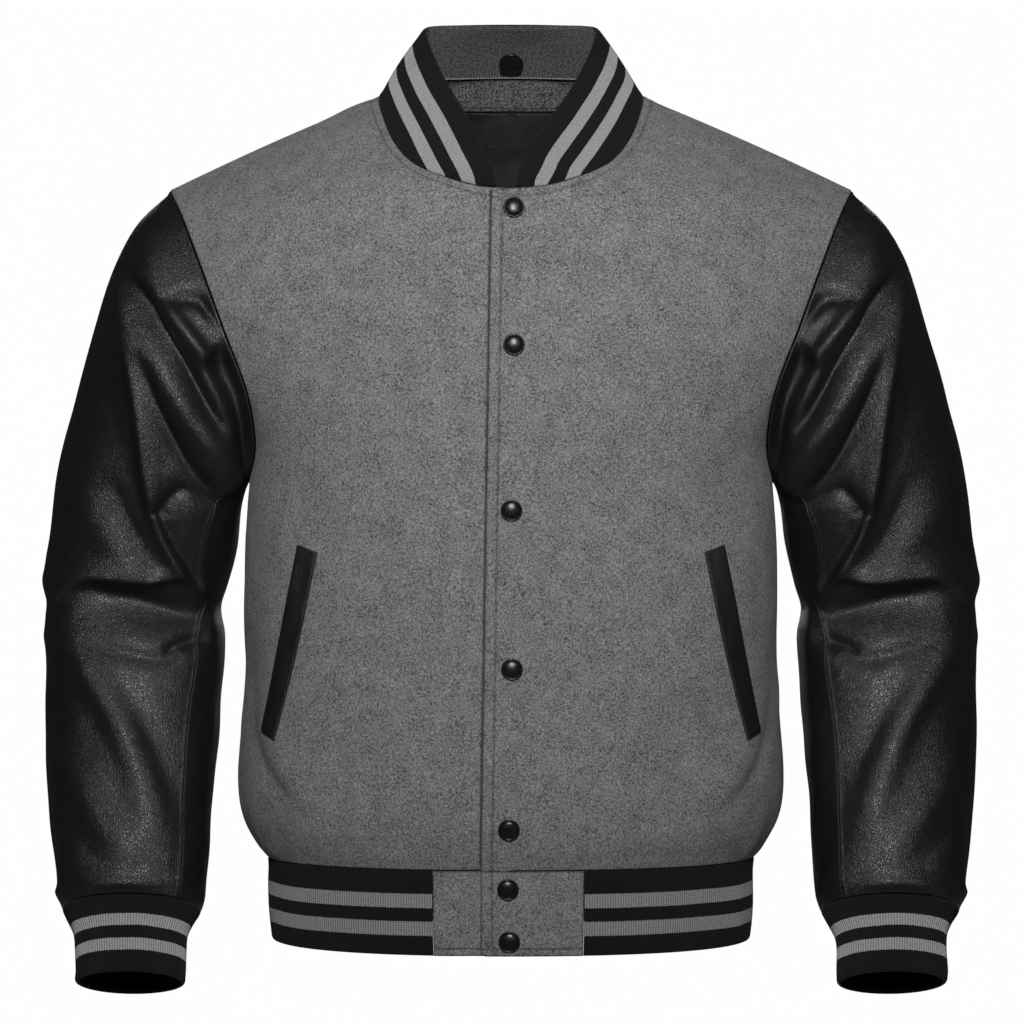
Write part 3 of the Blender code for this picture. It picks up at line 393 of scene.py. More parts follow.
class Cloth:
    """A sewn piece: its outer face as quads, then a closed shell with a coarser inner face."""

    def __init__(self, name, thickness, node=None):
        self.name, self.thickness, self.node = name, thickness, node or name
        self.points, self.index, self.quads, self.uvs, self.spots = [], {}, [], [], {}
        self.inner_quads, self.edges, self.ribs = [], [], []

    def add(self, grid, uv, core=trunk, stride=(3, 3), rows=(), columns=(), ribs=None):
        """Rows x columns of points with their (u, v); rows and columns named here are kept on the inner face."""
        grid = np.asarray(grid, float)
        n, m = grid.shape[:2]
        a, b, c, d = grid[:-1, :-1], grid[:-1, 1:], grid[1:, 1:], grid[1:, :-1]
        mid = (a + b + c + d) / 4
        turned = float((np.cross(c - a, d - b) * (mid - core(mid))).sum()) < 0
        ids = np.empty((n, m), int)
        keys = np.round(grid * 1000).astype(np.int64)
        for j in range(n):
            for i in range(m):
                k = (keys[j, i, 0], keys[j, i, 1], keys[j, i, 2])
                at = self.index.get(k)
                if at is None:
                    at = self.index[k] = len(self.points)
                    self.points.append(grid[j, i])
                    self.ribs.append(0.0 if ribs is None else ribs[j, i])
                    self.spots[at] = uv[j, i]
                ids[j, i] = at

        def quads(rk, ck, into, into_uv):
            for j0, j1 in zip(rk, rk[1:]):
                for i0, i1 in zip(ck, ck[1:]):
                    q = [(j0, i0), (j0, i1), (j1, i1), (j1, i0)]
                    q = q[::-1] if turned else q
                    t = [ids[s] for s in q]
                    if len(set(t)) == 4:
                        into.append(t)
                        into_uv.append([uv[s] for s in q])

        quads(range(n), range(m), self.quads, self.uvs)
        rk = sorted({0, n - 1, *range(0, n, stride[0]), *rows})
        ck = sorted({0, m - 1, *range(0, m, stride[1]), *columns})
        self.inner_quads.append((ids, rk, ck, turned, uv))
        return self

    def normals(self, pts):
        q = self.q
        n = np.cross(pts[q[:, 2]] - pts[q[:, 0]], pts[q[:, 3]] - pts[q[:, 1]])
        out = np.zeros_like(pts)
        for k in range(4):
            np.add.at(out, q[:, k], n)
        return unit(out)

    def edge(self, curve, profile, stitch=None, holds=True):
        self.edges.append((np.asarray(curve, float), profile, stitch, holds))
        return self

    def shape(self, relief=None, settle=0, common=None):
        """Settle the pattern's small kinks, lay the folds, then turn the edges."""
        pts, self.q = np.array(self.points), np.array(self.quads)
        q = self.q
        ends = np.sort(np.concatenate([q[:, [0, 1]], q[:, [1, 2]], q[:, [2, 3]], q[:, [3, 0]]]), axis=1)
        pairs, count = np.unique(ends, axis=0, return_counts=True)
        fixed = np.zeros(len(pts), bool)
        fixed[pairs[count == 1].ravel()] = True
        for _ in range(settle):
            total, weight = np.zeros_like(pts), np.zeros(len(pts))
            w = 1 / np.maximum(np.linalg.norm(pts[pairs[:, 0]] - pts[pairs[:, 1]], axis=1), 0.2)
            for a, b in ((0, 1), (1, 0)):
                np.add.at(total, pairs[:, a], pts[pairs[:, b]] * w[:, None])
                np.add.at(weight, pairs[:, a], w)
            free = ~fixed
            n = self.normals(pts)
            move = total / weight[:, None] - pts
            move = n * (move * n).sum(1)[:, None]        # only along the normal, so rows stay where they are
            pts[free] += 0.5 * move[free]
        n = self.normals(pts)
        lift = np.zeros(len(pts))
        near = np.full(len(pts), 60.0)
        held = np.full(len(pts), 60.0)
        line = np.full(len(pts), 60.0)
        turn = np.zeros(len(pts))
        for curve, profile, stitch, holds in self.edges:
            d = curve_distance(pts, curve)
            near = np.minimum(near, d)
            if holds:
                held = np.minimum(held, d)
            elif common is not None:                     # both pieces rise the same way along a shared seam
                for k in np.where(d < 12)[0]:
                    share = smooth01(1 - d[k] / 12)
                    n[k] = unit(n[k] * (1 - share) + common.nearest(pts[k])[1] * share)
            turn += profile(d)
            if stitch is not None:
                line = np.where(np.abs(d - stitch) < np.abs(line), d - stitch, line)
        self.base, self.base_normals = pts.copy(), n
        self.near, self.line = near, line
        if relief is not None:
            lift = relief(pts, n)
            lift = lift * smooth01((held - 0.5) / 9.0)       # seams hold the cloth where they are
        # the cut edges stand a little apart
        rim = np.sort(ends, axis=1)
        key = rim[:, 0].astype(np.int64) * len(pts) + rim[:, 1]
        _, where, many = np.unique(key, return_index=True, return_counts=True)
        raw = np.concatenate([q[:, [0, 1]], q[:, [1, 2]], q[:, [2, 3]], q[:, [3, 0]]])
        a, b = raw[where[many == 1]].T
        inward = unit(np.cross(n[a] + n[b], pts[b] - pts[a]))
        back = np.zeros_like(pts)
        np.add.at(back, a, inward)
        np.add.at(back, b, inward)
        self.shift = 0.2 * unit(back)
        self.inner_base = pts + self.shift + n * (lift - self.thickness)[:, None]
        self.pts = pts + self.shift + n * (lift + turn + np.array(self.ribs))[:, None]
        self.n = self.normals(self.pts)
        return self

    def tree(self):
        return Laid(self.pts, self.n, self.q)

    def build(self, outer, inner=None, slot=None, sharp=55):
        pts, n, q = self.pts, self.n, self.q
        use = {}
        faces, uvs, mats = [list(f) for f in q], [list(u) for u in self.uvs], [0] * len(q)
        extra, total = [], len(pts)
        for ids, rk, ck, turned, uv in self.inner_quads:
            for j0, j1 in zip(rk, rk[1:]):
                for i0, i1 in zip(ck, ck[1:]):
                    s = [(j0, i0), (j0, i1), (j1, i1), (j1, i0)]
                    s = s if turned else s[::-1]
                    t = []
                    for k in s:
                        v = int(ids[k])
                        if v not in use:
                            use[v] = total + len(extra)
                            extra.append(self.inner_base[v])
                        t.append(use[v])
                    if len(set(t)) == 4:
                        faces.append(t)
                        uvs.append([uv[k] for k in s])
                        mats.append(1 if inner else 0)
        onward = {}
        directed = set()
        for f in q.tolist():
            for a, b in zip(f, f[1:] + f[:1]):
                directed.add((a, b))
        for a, b in directed:
            if (b, a) not in directed:
                onward[a] = b
        left = set(onward)
        while left:
            start = next(iter(sorted(v for v in left if v in use)))
            loop = [start]
            while onward[loop[-1]] != start:
                loop.append(onward[loop[-1]])
            left -= set(loop)
            loop.append(start)
            k = 0
            while k < len(loop) - 1:
                e = k + 1
                while loop[e] not in use:
                    e += 1
                i0, i1, mid = use[loop[k]], use[loop[e]], (k + e) // 2
                ring = [(loop[i + 1], loop[i], i0) for i in range(k, mid)] + [(loop[mid], i0, i1)]
                ring += [(loop[i + 1], loop[i], i1) for i in range(mid, e)]
                for t in ring:
                    faces.append(list(t))
                    back = [v if v < total else (loop[k] if v == i0 else loop[e]) for v in t]
                    uvs.append([self.spots[v] for v in back])
                    mats.append(0)
                k = e
        mesh = bpy.data.meshes.new(self.name)
        verts = np.array(list(pts) + extra) * MM
        mesh.from_pydata(verts.tolist(), [], faces)
        layer = mesh.uv_layers.new(name="cloth")
        flat = np.array([c for f in uvs for c in f], np.float32)
        layer.data.foreach_set("uv", flat.ravel())
        # seam: distance from the nearest edge, which the materials turn into painted shade at seams and edges; stitch:
        # distance from the topstitch line, which the wool also turns into painted shade along its groove
        for name, values in (("seam", self.near), ("stitch", self.line)):
            data = mesh.attributes.new(name, "FLOAT", "POINT").data
            data.foreach_set("value", np.r_[values, np.full(len(extra), 60.0)].astype(np.float32))
        mesh.polygons.foreach_set("material_index", mats)
        mesh.materials.append(outer)
        if inner:
            mesh.materials.append(inner)
        mesh.update()
        mesh.shade_smooth()
        if sharp:
            mesh.set_sharp_from_angle(angle=math.radians(sharp))
        ob = bpy.data.objects.new(self.name + "_cloth", mesh)
        bpy.context.scene.collection.objects.link(ob)
        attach(ob, "root")
        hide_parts(self.node)
        self.object = ob
        return ob

    def area(self):
        q, p = self.q, self.pts
        return 0.5 * np.linalg.norm(np.cross(p[q[:, 2]] - p[q[:, 0]], p[q[:, 3]] - p[q[:, 1]]), axis=1).sum() * 1e-6


class Laid:
    """A finished face, for laying other pieces and stitches on."""

    def __init__(self, pts, n, q):
        self.pts, self.n, self.q = pts, n, q
        self.bvh = BVHTree.FromPolygons([Vector(p) for p in pts], [tuple(f) for f in q.tolist()])

    def _at(self, spot, face, offset):
        ids = self.q[face]
        w = 1 / np.maximum(np.linalg.norm(self.pts[ids] - spot, axis=1), 1e-3) ** 2
        n = unit((self.n[ids] * w[:, None]).sum(0))
        return spot + offset * n, n

    def nearest(self, p, offset=0.0):
        spot, _, face, _ = self.bvh.find_nearest(Vector(p))
        return self._at(np.array(spot), face, offset)

    def ray(self, start, way, offset=0.0):
        spot, _, face, _ = self.bvh.ray_cast(Vector(start), Vector(way))
        return self._at(np.array(spot), face, offset)


def mirror(grid):
    return np.asarray(grid) * (-1, 1, 1)


def step_in(grid):
    p = np.array(grid, float)
    t = np.where(p[..., 1] < 0, np.clip((p[..., 0] + LAP_FROM) / (LAP_FROM - LAP_TO), 0, 1), 0)
    p[..., 1] += LAP_STEP * (3 * t * t - 2 * t**3)
    return p


def uv_of(grid, u0=0.0, v0=0.0):
    """(u, v) in metres, measured along the grid's middle row and column."""
    g = np.asarray(grid)
    j, i = g.shape[0] // 2, g.shape[1] // 2
    u = np.r_[0, np.cumsum(np.linalg.norm(np.diff(g[j], axis=0), axis=1))] * MM + u0
    v = np.r_[0, np.cumsum(np.linalg.norm(np.diff(g[:, i], axis=0), axis=1))] * MM + v0
    return np.stack(np.meshgrid(u, v), -1)


# ---------------------------------------------------------------- fine rows of the pattern
RIGHT_STEP = np.array([(0, 7.0), (10, 6.0), (20, 5.0), (30, 4.0), (39, 3.0), (48, 2.0), (57, 1.48), (66, 1.0), (75, 0.0)])
LEFT_STEP = np.array([(0, 7.0), (10, 5.85), (20, 4.8), (30, 3.55), (39, 2.33), (48, 1.6), (57, 0.97), (66, 0.47), (75, 0.0)])
BACK_STEP = np.array([(285, 12.0), (300, 11.0), (315, 10.0), (322.5, 9.5), (330, 9.0), (345, 8.0), (360, 7.0)])


def lengths(points):
    return np.r_[0, np.cumsum(np.linalg.norm(np.diff(points, axis=0), axis=1))]


def panel_rows(front, steps):
    """The row at each distance up a half panel, the panel's whole length, and where its neck begins."""
    starts, line = (FRONT_START, FRONT_LINE) if front else (BACK_START, BACK_LINE)
    angles = np.linspace(180, 0, 361) if front else np.linspace(180, 360, 361)

    def start(angle):
        if starts[0, 0] <= angle <= starts[-1, 0]:
            z = along(starts, angle)[0]
            y = along(line, z)[0]
            return np.array((0, -y if front else y, z))
        return neck(along(steps, angle)[0])

    a, b = np.array([start(v) for v in angles]), along(ARMHOLE, angles)
    step = np.maximum(np.linalg.norm(np.diff(a, axis=0), axis=1), np.linalg.norm(np.diff(b, axis=0), axis=1))
    s = 300 + np.r_[0, np.cumsum(step)]

    def row(d):
        if d <= 300:
            return section(HEM_Z + d, BODY, front)
        angle = np.interp(d, s, angles)
        return upper_row(angle, start(angle), front)

    k = int(np.where(angles == (75 if front else 285))[0][0])
    return row, s[-1], s[k]


def column_marks(step=3.1, at=()):
    row = section(-508.0, BODY, True)
    t = np.linspace(0, 1, 400)
    d = lengths(bezier(row, t))
    return np.interp(marks(d[-1], step, at=at), d, t)


def from_centre(row, widths):
    """Points of a row at these distances from the centre line."""
    t = np.linspace(0, 0.3, 240)
    return bezier(row, np.interp(widths, bezier(row, t)[:, 0], t))


def lap_grid(rows, places, neck_at, full, corner=4.0, over=True):
    """The strip past the centre line, its upper corner rounded."""
    share = marks(full, 1.9, edge=(0.0, 0.5, 1.1, 2.0, 3.0), both=False, at=())[::-1]
    share = 1 - share / full
    out = []
    for row, d in zip(rows, places):
        z = row[0][2]
        w = EDGE_LOW + (EDGE_TOP - EDGE_LOW) * (z - HEM_Z) / (-57.0 - HEM_Z) if over else UNDERLAP
        e = neck_at - d
        if over and e < corner:
            w -= corner - math.sqrt(max(corner**2 - (corner - e) ** 2, 0))
        out.append(mirror(from_centre(row, share * w)))
    return np.array(out)


def body_front(sign):
    """One front: its half panel and the strip past the centre line."""
    left = sign > 0
    row, total, neck_at = panel_rows(True, LEFT_STEP if left else RIGHT_STEP)
    places = marks(total, 3.1, at=())
    extra = [neck_at - e for e in (0.0, 0.5, 1.2, 2.2, 3.6)]
    places = np.array(sorted([p for p in places if min(abs(p - e) for e in extra) > 0.9] + extra))
    rows = [row(d) for d in places]
    t = column_marks(at=() if left else (16.5, 19.5, 22.5))
    grid = np.array([bezier(r, t) for r in rows])
    k = int(np.where(np.abs(places - neck_at) < 1e-6)[0][0]) + 1
    strip = lap_grid(rows[:k], places[:k], neck_at, 20.0, over=left)
    uv = np.stack(np.meshgrid(t * 262, places), -1) * MM
    uv_strip = np.stack(np.meshgrid(-np.linspace(0, 20, strip.shape[1]), places[:k]), -1) * MM
    if not left:
        grid, strip = step_in(mirror(grid)), step_in(mirror(strip))
    piece = Cloth("front_left" if left else "front_right", WOOL)
    piece.add(grid, uv, rows=(k - 1,))
    piece.add(strip, uv_strip)
    lower = np.searchsorted(places, 300)
    seam = rolled(1.7, 1.3)
    piece.edge(grid[0], seam)                                     # hem seam
    piece.edge(grid[:lower + 1, -1], rolled(1.5, 0.9))            # side seam
    piece.edge(grid[lower:, -1], rolled(1.5, 1.1))                # armhole
    piece.edge(grid[-1], rolled(1.5, 0.9))                        # shoulder
    piece.edge(grid[k - 1:, 0], rolled(1.6, 1.0), 7.0)            # neck
    if left:
        piece.edge(strip[:, -1], topstitched(9.0, 0.28, 0.9, 0.55, 2.8, 2.3), 9.0)
        piece.edge(strip[-1], rolled(1.8, 1.2), 7.0)
    else:
        piece.edge(strip[:, -1], rolled(1.6, 1.0))
        piece.edge(strip[-1], rolled(1.6, 1.0))
        # the line under the overlapping strip's edge: a shallow groove, and its seam distance also darkens the wool
        # there in the material, a painted shadow of the strip
        under = [from_centre(r, np.array([EDGE_LOW + (EDGE_TOP - EDGE_LOW) * (r[0][2] - HEM_Z) / (-57.0 - HEM_Z)]))[0]
                 for r in rows[:k]]
        piece.edge(step_in(mirror(np.array(under))), lambda d: -0.7 * np.exp(-(d / 1.5) ** 2), holds=False)

    def relief(p, n):
        q = p * (sign, 1, 1)
        face = smooth01((-n[:, 1] - 0.05) / 0.35)
        slack = ripple(p, 90, 5 if left else 6) * 0.9 + ripple(p, 34, 7 if left else 8) * 0.28
        low = np.clip((-500 - p[:, 2]) / 70, 0, 1) * np.clip(np.abs(p[:, 0]) / 90 - 0.6, 0, 1)
        pucker = ripple(p, 26, 31 if left else 32, (1, 1, 0.25)) * 0.9 * low
        near_lap = smooth01((np.abs(p[:, 0]) - 26) / 30)
        return BODY_FRONT.height(q) * face + (slack + pucker) * near_lap

    piece.shape(relief, settle=24)
    piece.placket = strip[:, -1]
    return piece


def body_back():
    row, total, neck_at = panel_rows(False, BACK_STEP)
    places = marks(total, 3.1)
    places = np.array(sorted([p for p in places if abs(p - neck_at) > 0.9] + [neck_at]))
    rows = [row(d) for d in places]
    t = column_marks()
    half = np.array([bezier(r, t) for r in rows])
    piece = Cloth("back", WOOL)
    uv = np.stack(np.meshgrid(t * 262, places), -1) * MM
    # one grid across the centre line below the neck, a grid on each side above it
    k = int(np.where(np.abs(places - neck_at) < 1e-6)[0][0]) + 1
    whole = np.concatenate([mirror(half[:k, :0:-1]), half[:k]], axis=1)
    uv_w = np.concatenate([uv[:k, :0:-1] * (-1, 1), uv[:k]], axis=1)
    mid = half.shape[1] - 1
    kept = {0, 2 * mid, *range(mid, 2 * mid, 3), *range(mid, 0, -3)}
    piece.add(whole, uv_w, rows=(k - 1,), stride=(3, 9999), columns=kept)
    upper = half[k - 1:]
    piece.add(upper, uv[k - 1:])
    piece.add(mirror(upper), uv[k - 1:] * (-1, 1))
    lower = np.searchsorted(places, 300)
    piece.edge(half[0], rolled(1.7, 1.3)).edge(mirror(half[0]), rolled(1.7, 1.3))
    for turn in (lambda g: g, mirror):
        piece.edge(turn(half[:lower + 1, -1]), rolled(1.5, 0.9))
        piece.edge(turn(half[lower:, -1]), rolled(1.5, 1.1))
        piece.edge(turn(half[-1]), rolled(1.5, 0.9))
        piece.edge(turn(half[k - 1:, 0]), rolled(1.6, 1.0), 7.0)

    def relief(p, n):
        face = smooth01((n[:, 1] - 0.05) / 0.35)
        slack = ripple(p, 110, 15) * 1.4 + ripple(p, 38, 16) * 0.35
        low = np.clip((-490 - p[:, 2]) / 80, 0, 1)
        pucker = ripple(p, 24, 33, (1, 1, 0.25)) * 0.9 * low
        a, b = BODY_BACK.height(p), BODY_BACK.height(p * (-1, 1, 1) + (6, 0, 9))
        return (a + b * 0.9) * face + slack + pucker

    piece.shape(relief, settle=24)
    piece.neck = (half[k - 1:, 0], mirror(half[k - 1:, 0]))
    return piece


# ---------------------------------------------------------------- sleeves
def ring_points(ring, angles):
    xo, zo, xi, zi, yc, depth, tilt = ring[:7]
    a, t = np.radians(angles)[:, None], math.radians(tilt)
    mid = np.array(((xo + xi) / 2, yc, (zo + zi) / 2))
    out = np.array(((xo - xi) / 2, 0, (zo - zi) / 2))
    return mid + out * np.cos(a) + depth * np.array((0, -math.cos(t), math.sin(t))) * np.sin(a)


def seam_turned(angles, front_seam, back_seam, under):
    if under:
        return front_seam + (angles - 165) / 45 * (back_seam - front_seam)
    return np.where(angles >= 0, angles * front_seam / 165, angles * (360 - back_seam) / 150)


def sleeve_tube(sign):
    """The whole sleeve before its folds, as one tube."""
    t = np.linspace(0, 360, 91)[:-1]
    rings = np.array([along(ARMHOLE, t)] + [ring_points(r, t) for r in SLEEVE])
    keys = np.r_[0, np.cumsum(np.linalg.norm(np.diff(rings, axis=0), axis=2).mean(1))]
    rings = along(rings, np.linspace(0, keys[-1], 90), keys=keys)
    if sign < 0:
        rings = mirror(rings)
    j, i = np.meshgrid(np.arange(89), np.arange(90), indexing="ij")
    q = np.stack([j * 90 + i, j * 90 + (i + 1) % 90, (j + 1) * 90 + (i + 1) % 90, (j + 1) * 90 + i], -1).reshape(-1, 4)
    n = unit(np.cross(np.roll(rings, -1, 1) - np.roll(rings, 1, 1), np.gradient(rings, axis=0)))
    if ((rings - arm(rings)) * n).sum() < 0:
        n = -n
    return Laid(rings.reshape(-1, 3), n.reshape(-1, 3), q)


def sleeve_piece(sign, under):
    side = "left" if sign > 0 else "right"
    wide = np.linspace(165, 210, 91) if under else np.linspace(-150, 165, 631)
    mid_ring = ring_points(SLEEVE[3], seam_turned(wide, SLEEVE[3, 7], SLEEVE[3, 8], under))
    d = lengths(mid_ring)
    angles = np.interp(marks(d[-1], 2.1, edge=(0.0, 0.6, 1.3, 2.3, 3.6)), d, wide)
    table = [along(ARMHOLE, np.where(angles < 0, angles + 360, angles))]
    for ring in SLEEVE:
        table.append(ring_points(ring, seam_turned(angles, ring[7], ring[8], under)))
    table = np.array(table)
    keys = np.r_[0, np.cumsum(np.linalg.norm(np.diff(table, axis=0), axis=2).mean(1))]
    places = marks(keys[-1], 1.75, edge=(0.0, 0.6, 1.3, 2.3, 3.6))
    grid = along(table, places, keys=keys)
    if sign < 0:
        grid = mirror(grid)
    uv = np.stack(np.meshgrid(np.interp(angles, wide, d), places), -1) * MM
    piece = Cloth("sleeve_%s_%s" % (side, "under" if under else "top"), LEATHER)
    piece.add(grid, uv, core=arm, stride=(2, 2))
    piece.edge(grid[0], beaded(0.5, 1.6, 1.0, 1.2))
    piece.edge(grid[-1], rolled(2.6, 1.5))
    piece.edge(grid[:, 0], rolled(1.3, 0.75), holds=False)
    piece.edge(grid[:, -1], rolled(1.3, 0.75) if under else beaded(0.55, 1.7, 0.9, 0.75), holds=False)

    def relief(p, n):
        q, m = p * (sign, 1, 1), n * (sign, 1, 1)
        front = smooth01((-m[:, 1] - 0.10) / 0.42)
        behind = smooth01((m[:, 1] - 0.02) / 0.4)
        beside = smooth01((m[:, 0] - 0.45) / 0.4) * (1 - 0.6 * front)
        fold = SLEEVE_FRONT.height(q) * front + SLEEVE_BACK.height(q) * behind + SLEEVE_SIDE.height(q) * beside
        small = ripple(p, 46, 51) * 0.4
        top = smooth01((-p[:, 2] - 60) / 60)
        inner = np.clip(-m[:, 0], 0, 1)
        drag = ripple(p, 60, 71, (0.5, 0.5, 1.2)) * 0.7 * inner * smooth01((-300 - p[:, 2]) / 60)
        return fold + (small + drag) * top

    piece.shape(relief, settle=16, common=sleeve_tube(sign))
    piece.seams = (grid[:, 0], grid[:, -1])
    return piece


# ---------------------------------------------------------------- ribbed pieces
RIB_WAVE = {4: np.array([-1.0, 0.35, 1.0, 0.35]), 5: np.array([-1.0, 0.1, 0.9, 0.9, 0.1]), 3: np.array([-1.0, 0.6, 0.6])}


def ribbed(columns, rows, samples, tall, length, held=1):
    """Relief of upright ribs on a grid, lower where a seam or fold holds them."""
    wave = RIB_WAVE[samples][np.arange(columns) % samples] * tall
    at = np.linspace(0, length, rows) if np.isscalar(rows) else rows
    fade = 0.45 + 0.55 * smooth01(at / 4.0)
    if held > 1:
        fade = fade * (0.35 + 0.65 * smooth01((length - at) / 3.0))
    return fade[:, None] * wave[None, :]


def by_length(points, count):
    d = lengths(points)
    at = np.linspace(0, d[-1], count)
    return np.stack([np.interp(at, d, points[:, c]) for c in range(3)], -1)


def reach_of(row, x):
    return reach(row, x)


CUT_R = reach(section(HEM_Z, BODY, True), TAB_RIGHT)
CUT_L = reach(section(HEM_Z, BODY, True), TAB_LEFT)


def hem_row(z):
    """One level line of the hem band, from the right tab round the back to the left tab."""
    front, behind = section(z, HEM, True), section(z, HEM, False)
    t = np.linspace(0, 1, 200)
    right = step_in(mirror(bezier(front, CUT_R + (1 - CUT_R) * t)))
    back_r = mirror(bezier(behind, 1 - t))[1:]
    back_l = bezier(behind, t)[1:]
    left = bezier(front, 1 - (1 - CUT_L) * t)[1:]
    return np.concatenate([right, back_r, back_l, left])


def hem_rib():
    down = marks(65.5, 2.3, edge=(0.0, 0.7, 1.5, 2.6, 4.0))
    samples, pitch = 4, 2.06
    ribs = int(round(lengths(hem_row(-610.0))[-1] / pitch))
    columns = ribs * samples + 1
    grid = np.array([by_length(hem_row(HEM_Z - d), columns) for d in down])
    uv = np.stack(np.meshgrid(np.arange(columns) / samples, down), -1)
    piece = Cloth("hem_rib", RIB)
    piece.add(grid, uv, stride=(4, samples), ribs=ribbed(columns, down, samples, 0.42, 65.5, 2))
    piece.edge(grid[0], rolled(2.0, 1.1)).edge(grid[-1], rolled(2.8, 1.9))
    piece.edge(grid[:, 0], rolled(1.2, 0.6)).edge(grid[:, -1], rolled(1.2, 0.6))

    def relief(p, n):
        soft = smooth01((HEM_Z - p[:, 2]) / 20) * smooth01((p[:, 2] + 647) / 14)
        return ripple(p, 46, 81, (1, 1, 0.5)) * 0.8 * soft

    return piece.shape(relief)


def tab(sign):
    """The plain wool end of the hem band, with the strip past the centre line."""
    left = sign > 0
    down = marks(65.5, 2.6, edge=(0.0, 0.6, 1.3, 2.3, 3.4, 4.6, 5.4, 6.2))
    cut = CUT_L if left else CUT_R
    grid, strip = [], []
    share = np.linspace(0, 1, 13)
    share = np.r_[share[:-1] * 0.9, 0.915, 0.95, 0.977, 1.0] if left else np.linspace(0, 1, 9)
    for d in down:
        row = section(HEM_Z - d, HEM, True)
        grid.append(bezier(row, np.r_[0, 0.02, np.linspace(0.04, cut - 0.012, 15), cut - 0.006, cut - 0.002, cut]))
        w, e = (EDGE_LOW if left else UNDERLAP), 65.5 - d
        if left and e < 3.5:
            w -= 3.5 - math.sqrt(max(3.5**2 - (3.5 - e) ** 2, 0))
        strip.append(mirror(from_centre(row, share * w)))
    grid, strip = np.array(grid), np.array(strip)
    if not left:
        grid, strip = step_in(mirror(grid)), step_in(mirror(strip))
    piece = Cloth("hem_tab_left" if left else "hem_tab_right", WOOL)
    piece.add(grid, uv_of(grid)).add(strip, uv_of(strip, 0.1))
    piece.edge(grid[0], rolled(1.6, 1.0)).edge(grid[:, -1], rolled(1.4, 0.9))
    piece.edge(grid[-1], topstitched(5.6, 0.3, 0.7, 0.25), 5.6).edge(strip[-1], topstitched(5.6, 0.3, 0.7, 0.25), 5.6)
    piece.edge(strip[0], rolled(1.6, 1.0))
    piece.edge(strip[:, -1], topstitched(9.0, 0.28, 0.9, 0.55, 2.8, 2.3) if left else rolled(1.4, 0.9), 9.0 if left else None)
    return piece.shape(lambda p, n: ripple(p, 30, 91 + left) * 0.35)


def cuff(sign):
    samples, pitch = 5, 2.06
    t = np.linspace(0, 360, 721) - 225
    rings = np.array([ring_points(ring, t) for ring in CUFF])
    keys = np.r_[0, np.cumsum(np.linalg.norm(np.diff(rings, axis=0), axis=2).mean(1))]
    down = marks(keys[-1], 2.5, edge=(0.0, 0.7, 1.5, 2.6, 4.0))
    fine = along(rings, down, keys=keys)
    ribs = int(round(lengths(fine[len(down) // 2])[-1] / pitch))
    columns = ribs * samples + 1
    grid = np.array([by_length(f, columns) for f in fine])
    if sign < 0:
        grid = mirror(grid)
    uv = np.stack(np.meshgrid(np.arange(columns) / samples, down), -1)
    piece = Cloth("cuff_left" if sign > 0 else "cuff_right", RIB)
    piece.add(grid, uv, core=arm, stride=(3, 1), ribs=ribbed(columns, down, samples, 0.45, keys[-1], 2))
    piece.edge(grid[0], rolled(1.6, 0.8)).edge(grid[-1], rolled(2.8, 1.9))

    def relief(p, n):
        k = smooth01((down[-1] - 6 - np.abs(p[:, 2] + 616) + 0) / 30)
        return ripple(p, 24, 95, (1, 1, 0.35)) * 0.8

    return piece.shape(relief)


# ---------------------------------------------------------------- collar
def collar_frame():
    """Foot and top of the collar at every fine station, the wearer's right end first."""
    rows = [(r[0], -r[1], r[2], r[3]) for r in COLLAR_RIGHT] + [(24 - r[0], r[1], r[2], r[3]) for r in COLLAR_LEFT[-2::-1]]
    rows = np.array(rows)
    steps = np.minimum(rows[:, 0], 24 - rows[:, 0])
    side = np.where(rows[:, 0] <= 12, -1, 1)
    foot = neck(steps) * np.stack([side, side * 0 + 1, side * 0 + 1], -1)
    foot = np.where(side[:, None] < 0, step_in(foot), foot)
    mid = (foot + rows[:, 1:]) / 2
    keys = lengths(mid)
    return rows, keys


COLLAR_ROWS, COLLAR_KEYS = collar_frame()


def collar_points(at, parts):
    """Grid of the collar's outer face: parts from the neck seam (0) to the top edge (1)."""
    q = along(COLLAR_ROWS, at, keys=COLLAR_KEYS)
    steps = np.clip(np.minimum(q[:, 0], 24 - q[:, 0]), 0, 12)
    side = np.where(q[:, 0] <= 12, -1.0, 1.0)
    foot = neck(steps)
    foot[:, 0] *= side
    foot = np.where(side[:, None] < 0, step_in(foot), foot)
    top = q[:, 1:]
    out = unit(np.stack([foot[:, 0], foot[:, 1] * 0.9 - 4.0, np.full(len(foot), 30.0)], -1))
    size = np.linalg.norm(top - foot, axis=1)[:, None]
    return np.array([foot + (top - foot) * s + out * 3.0 * (size / 60.0) * 4 * s * (1 - s) for s in parts])


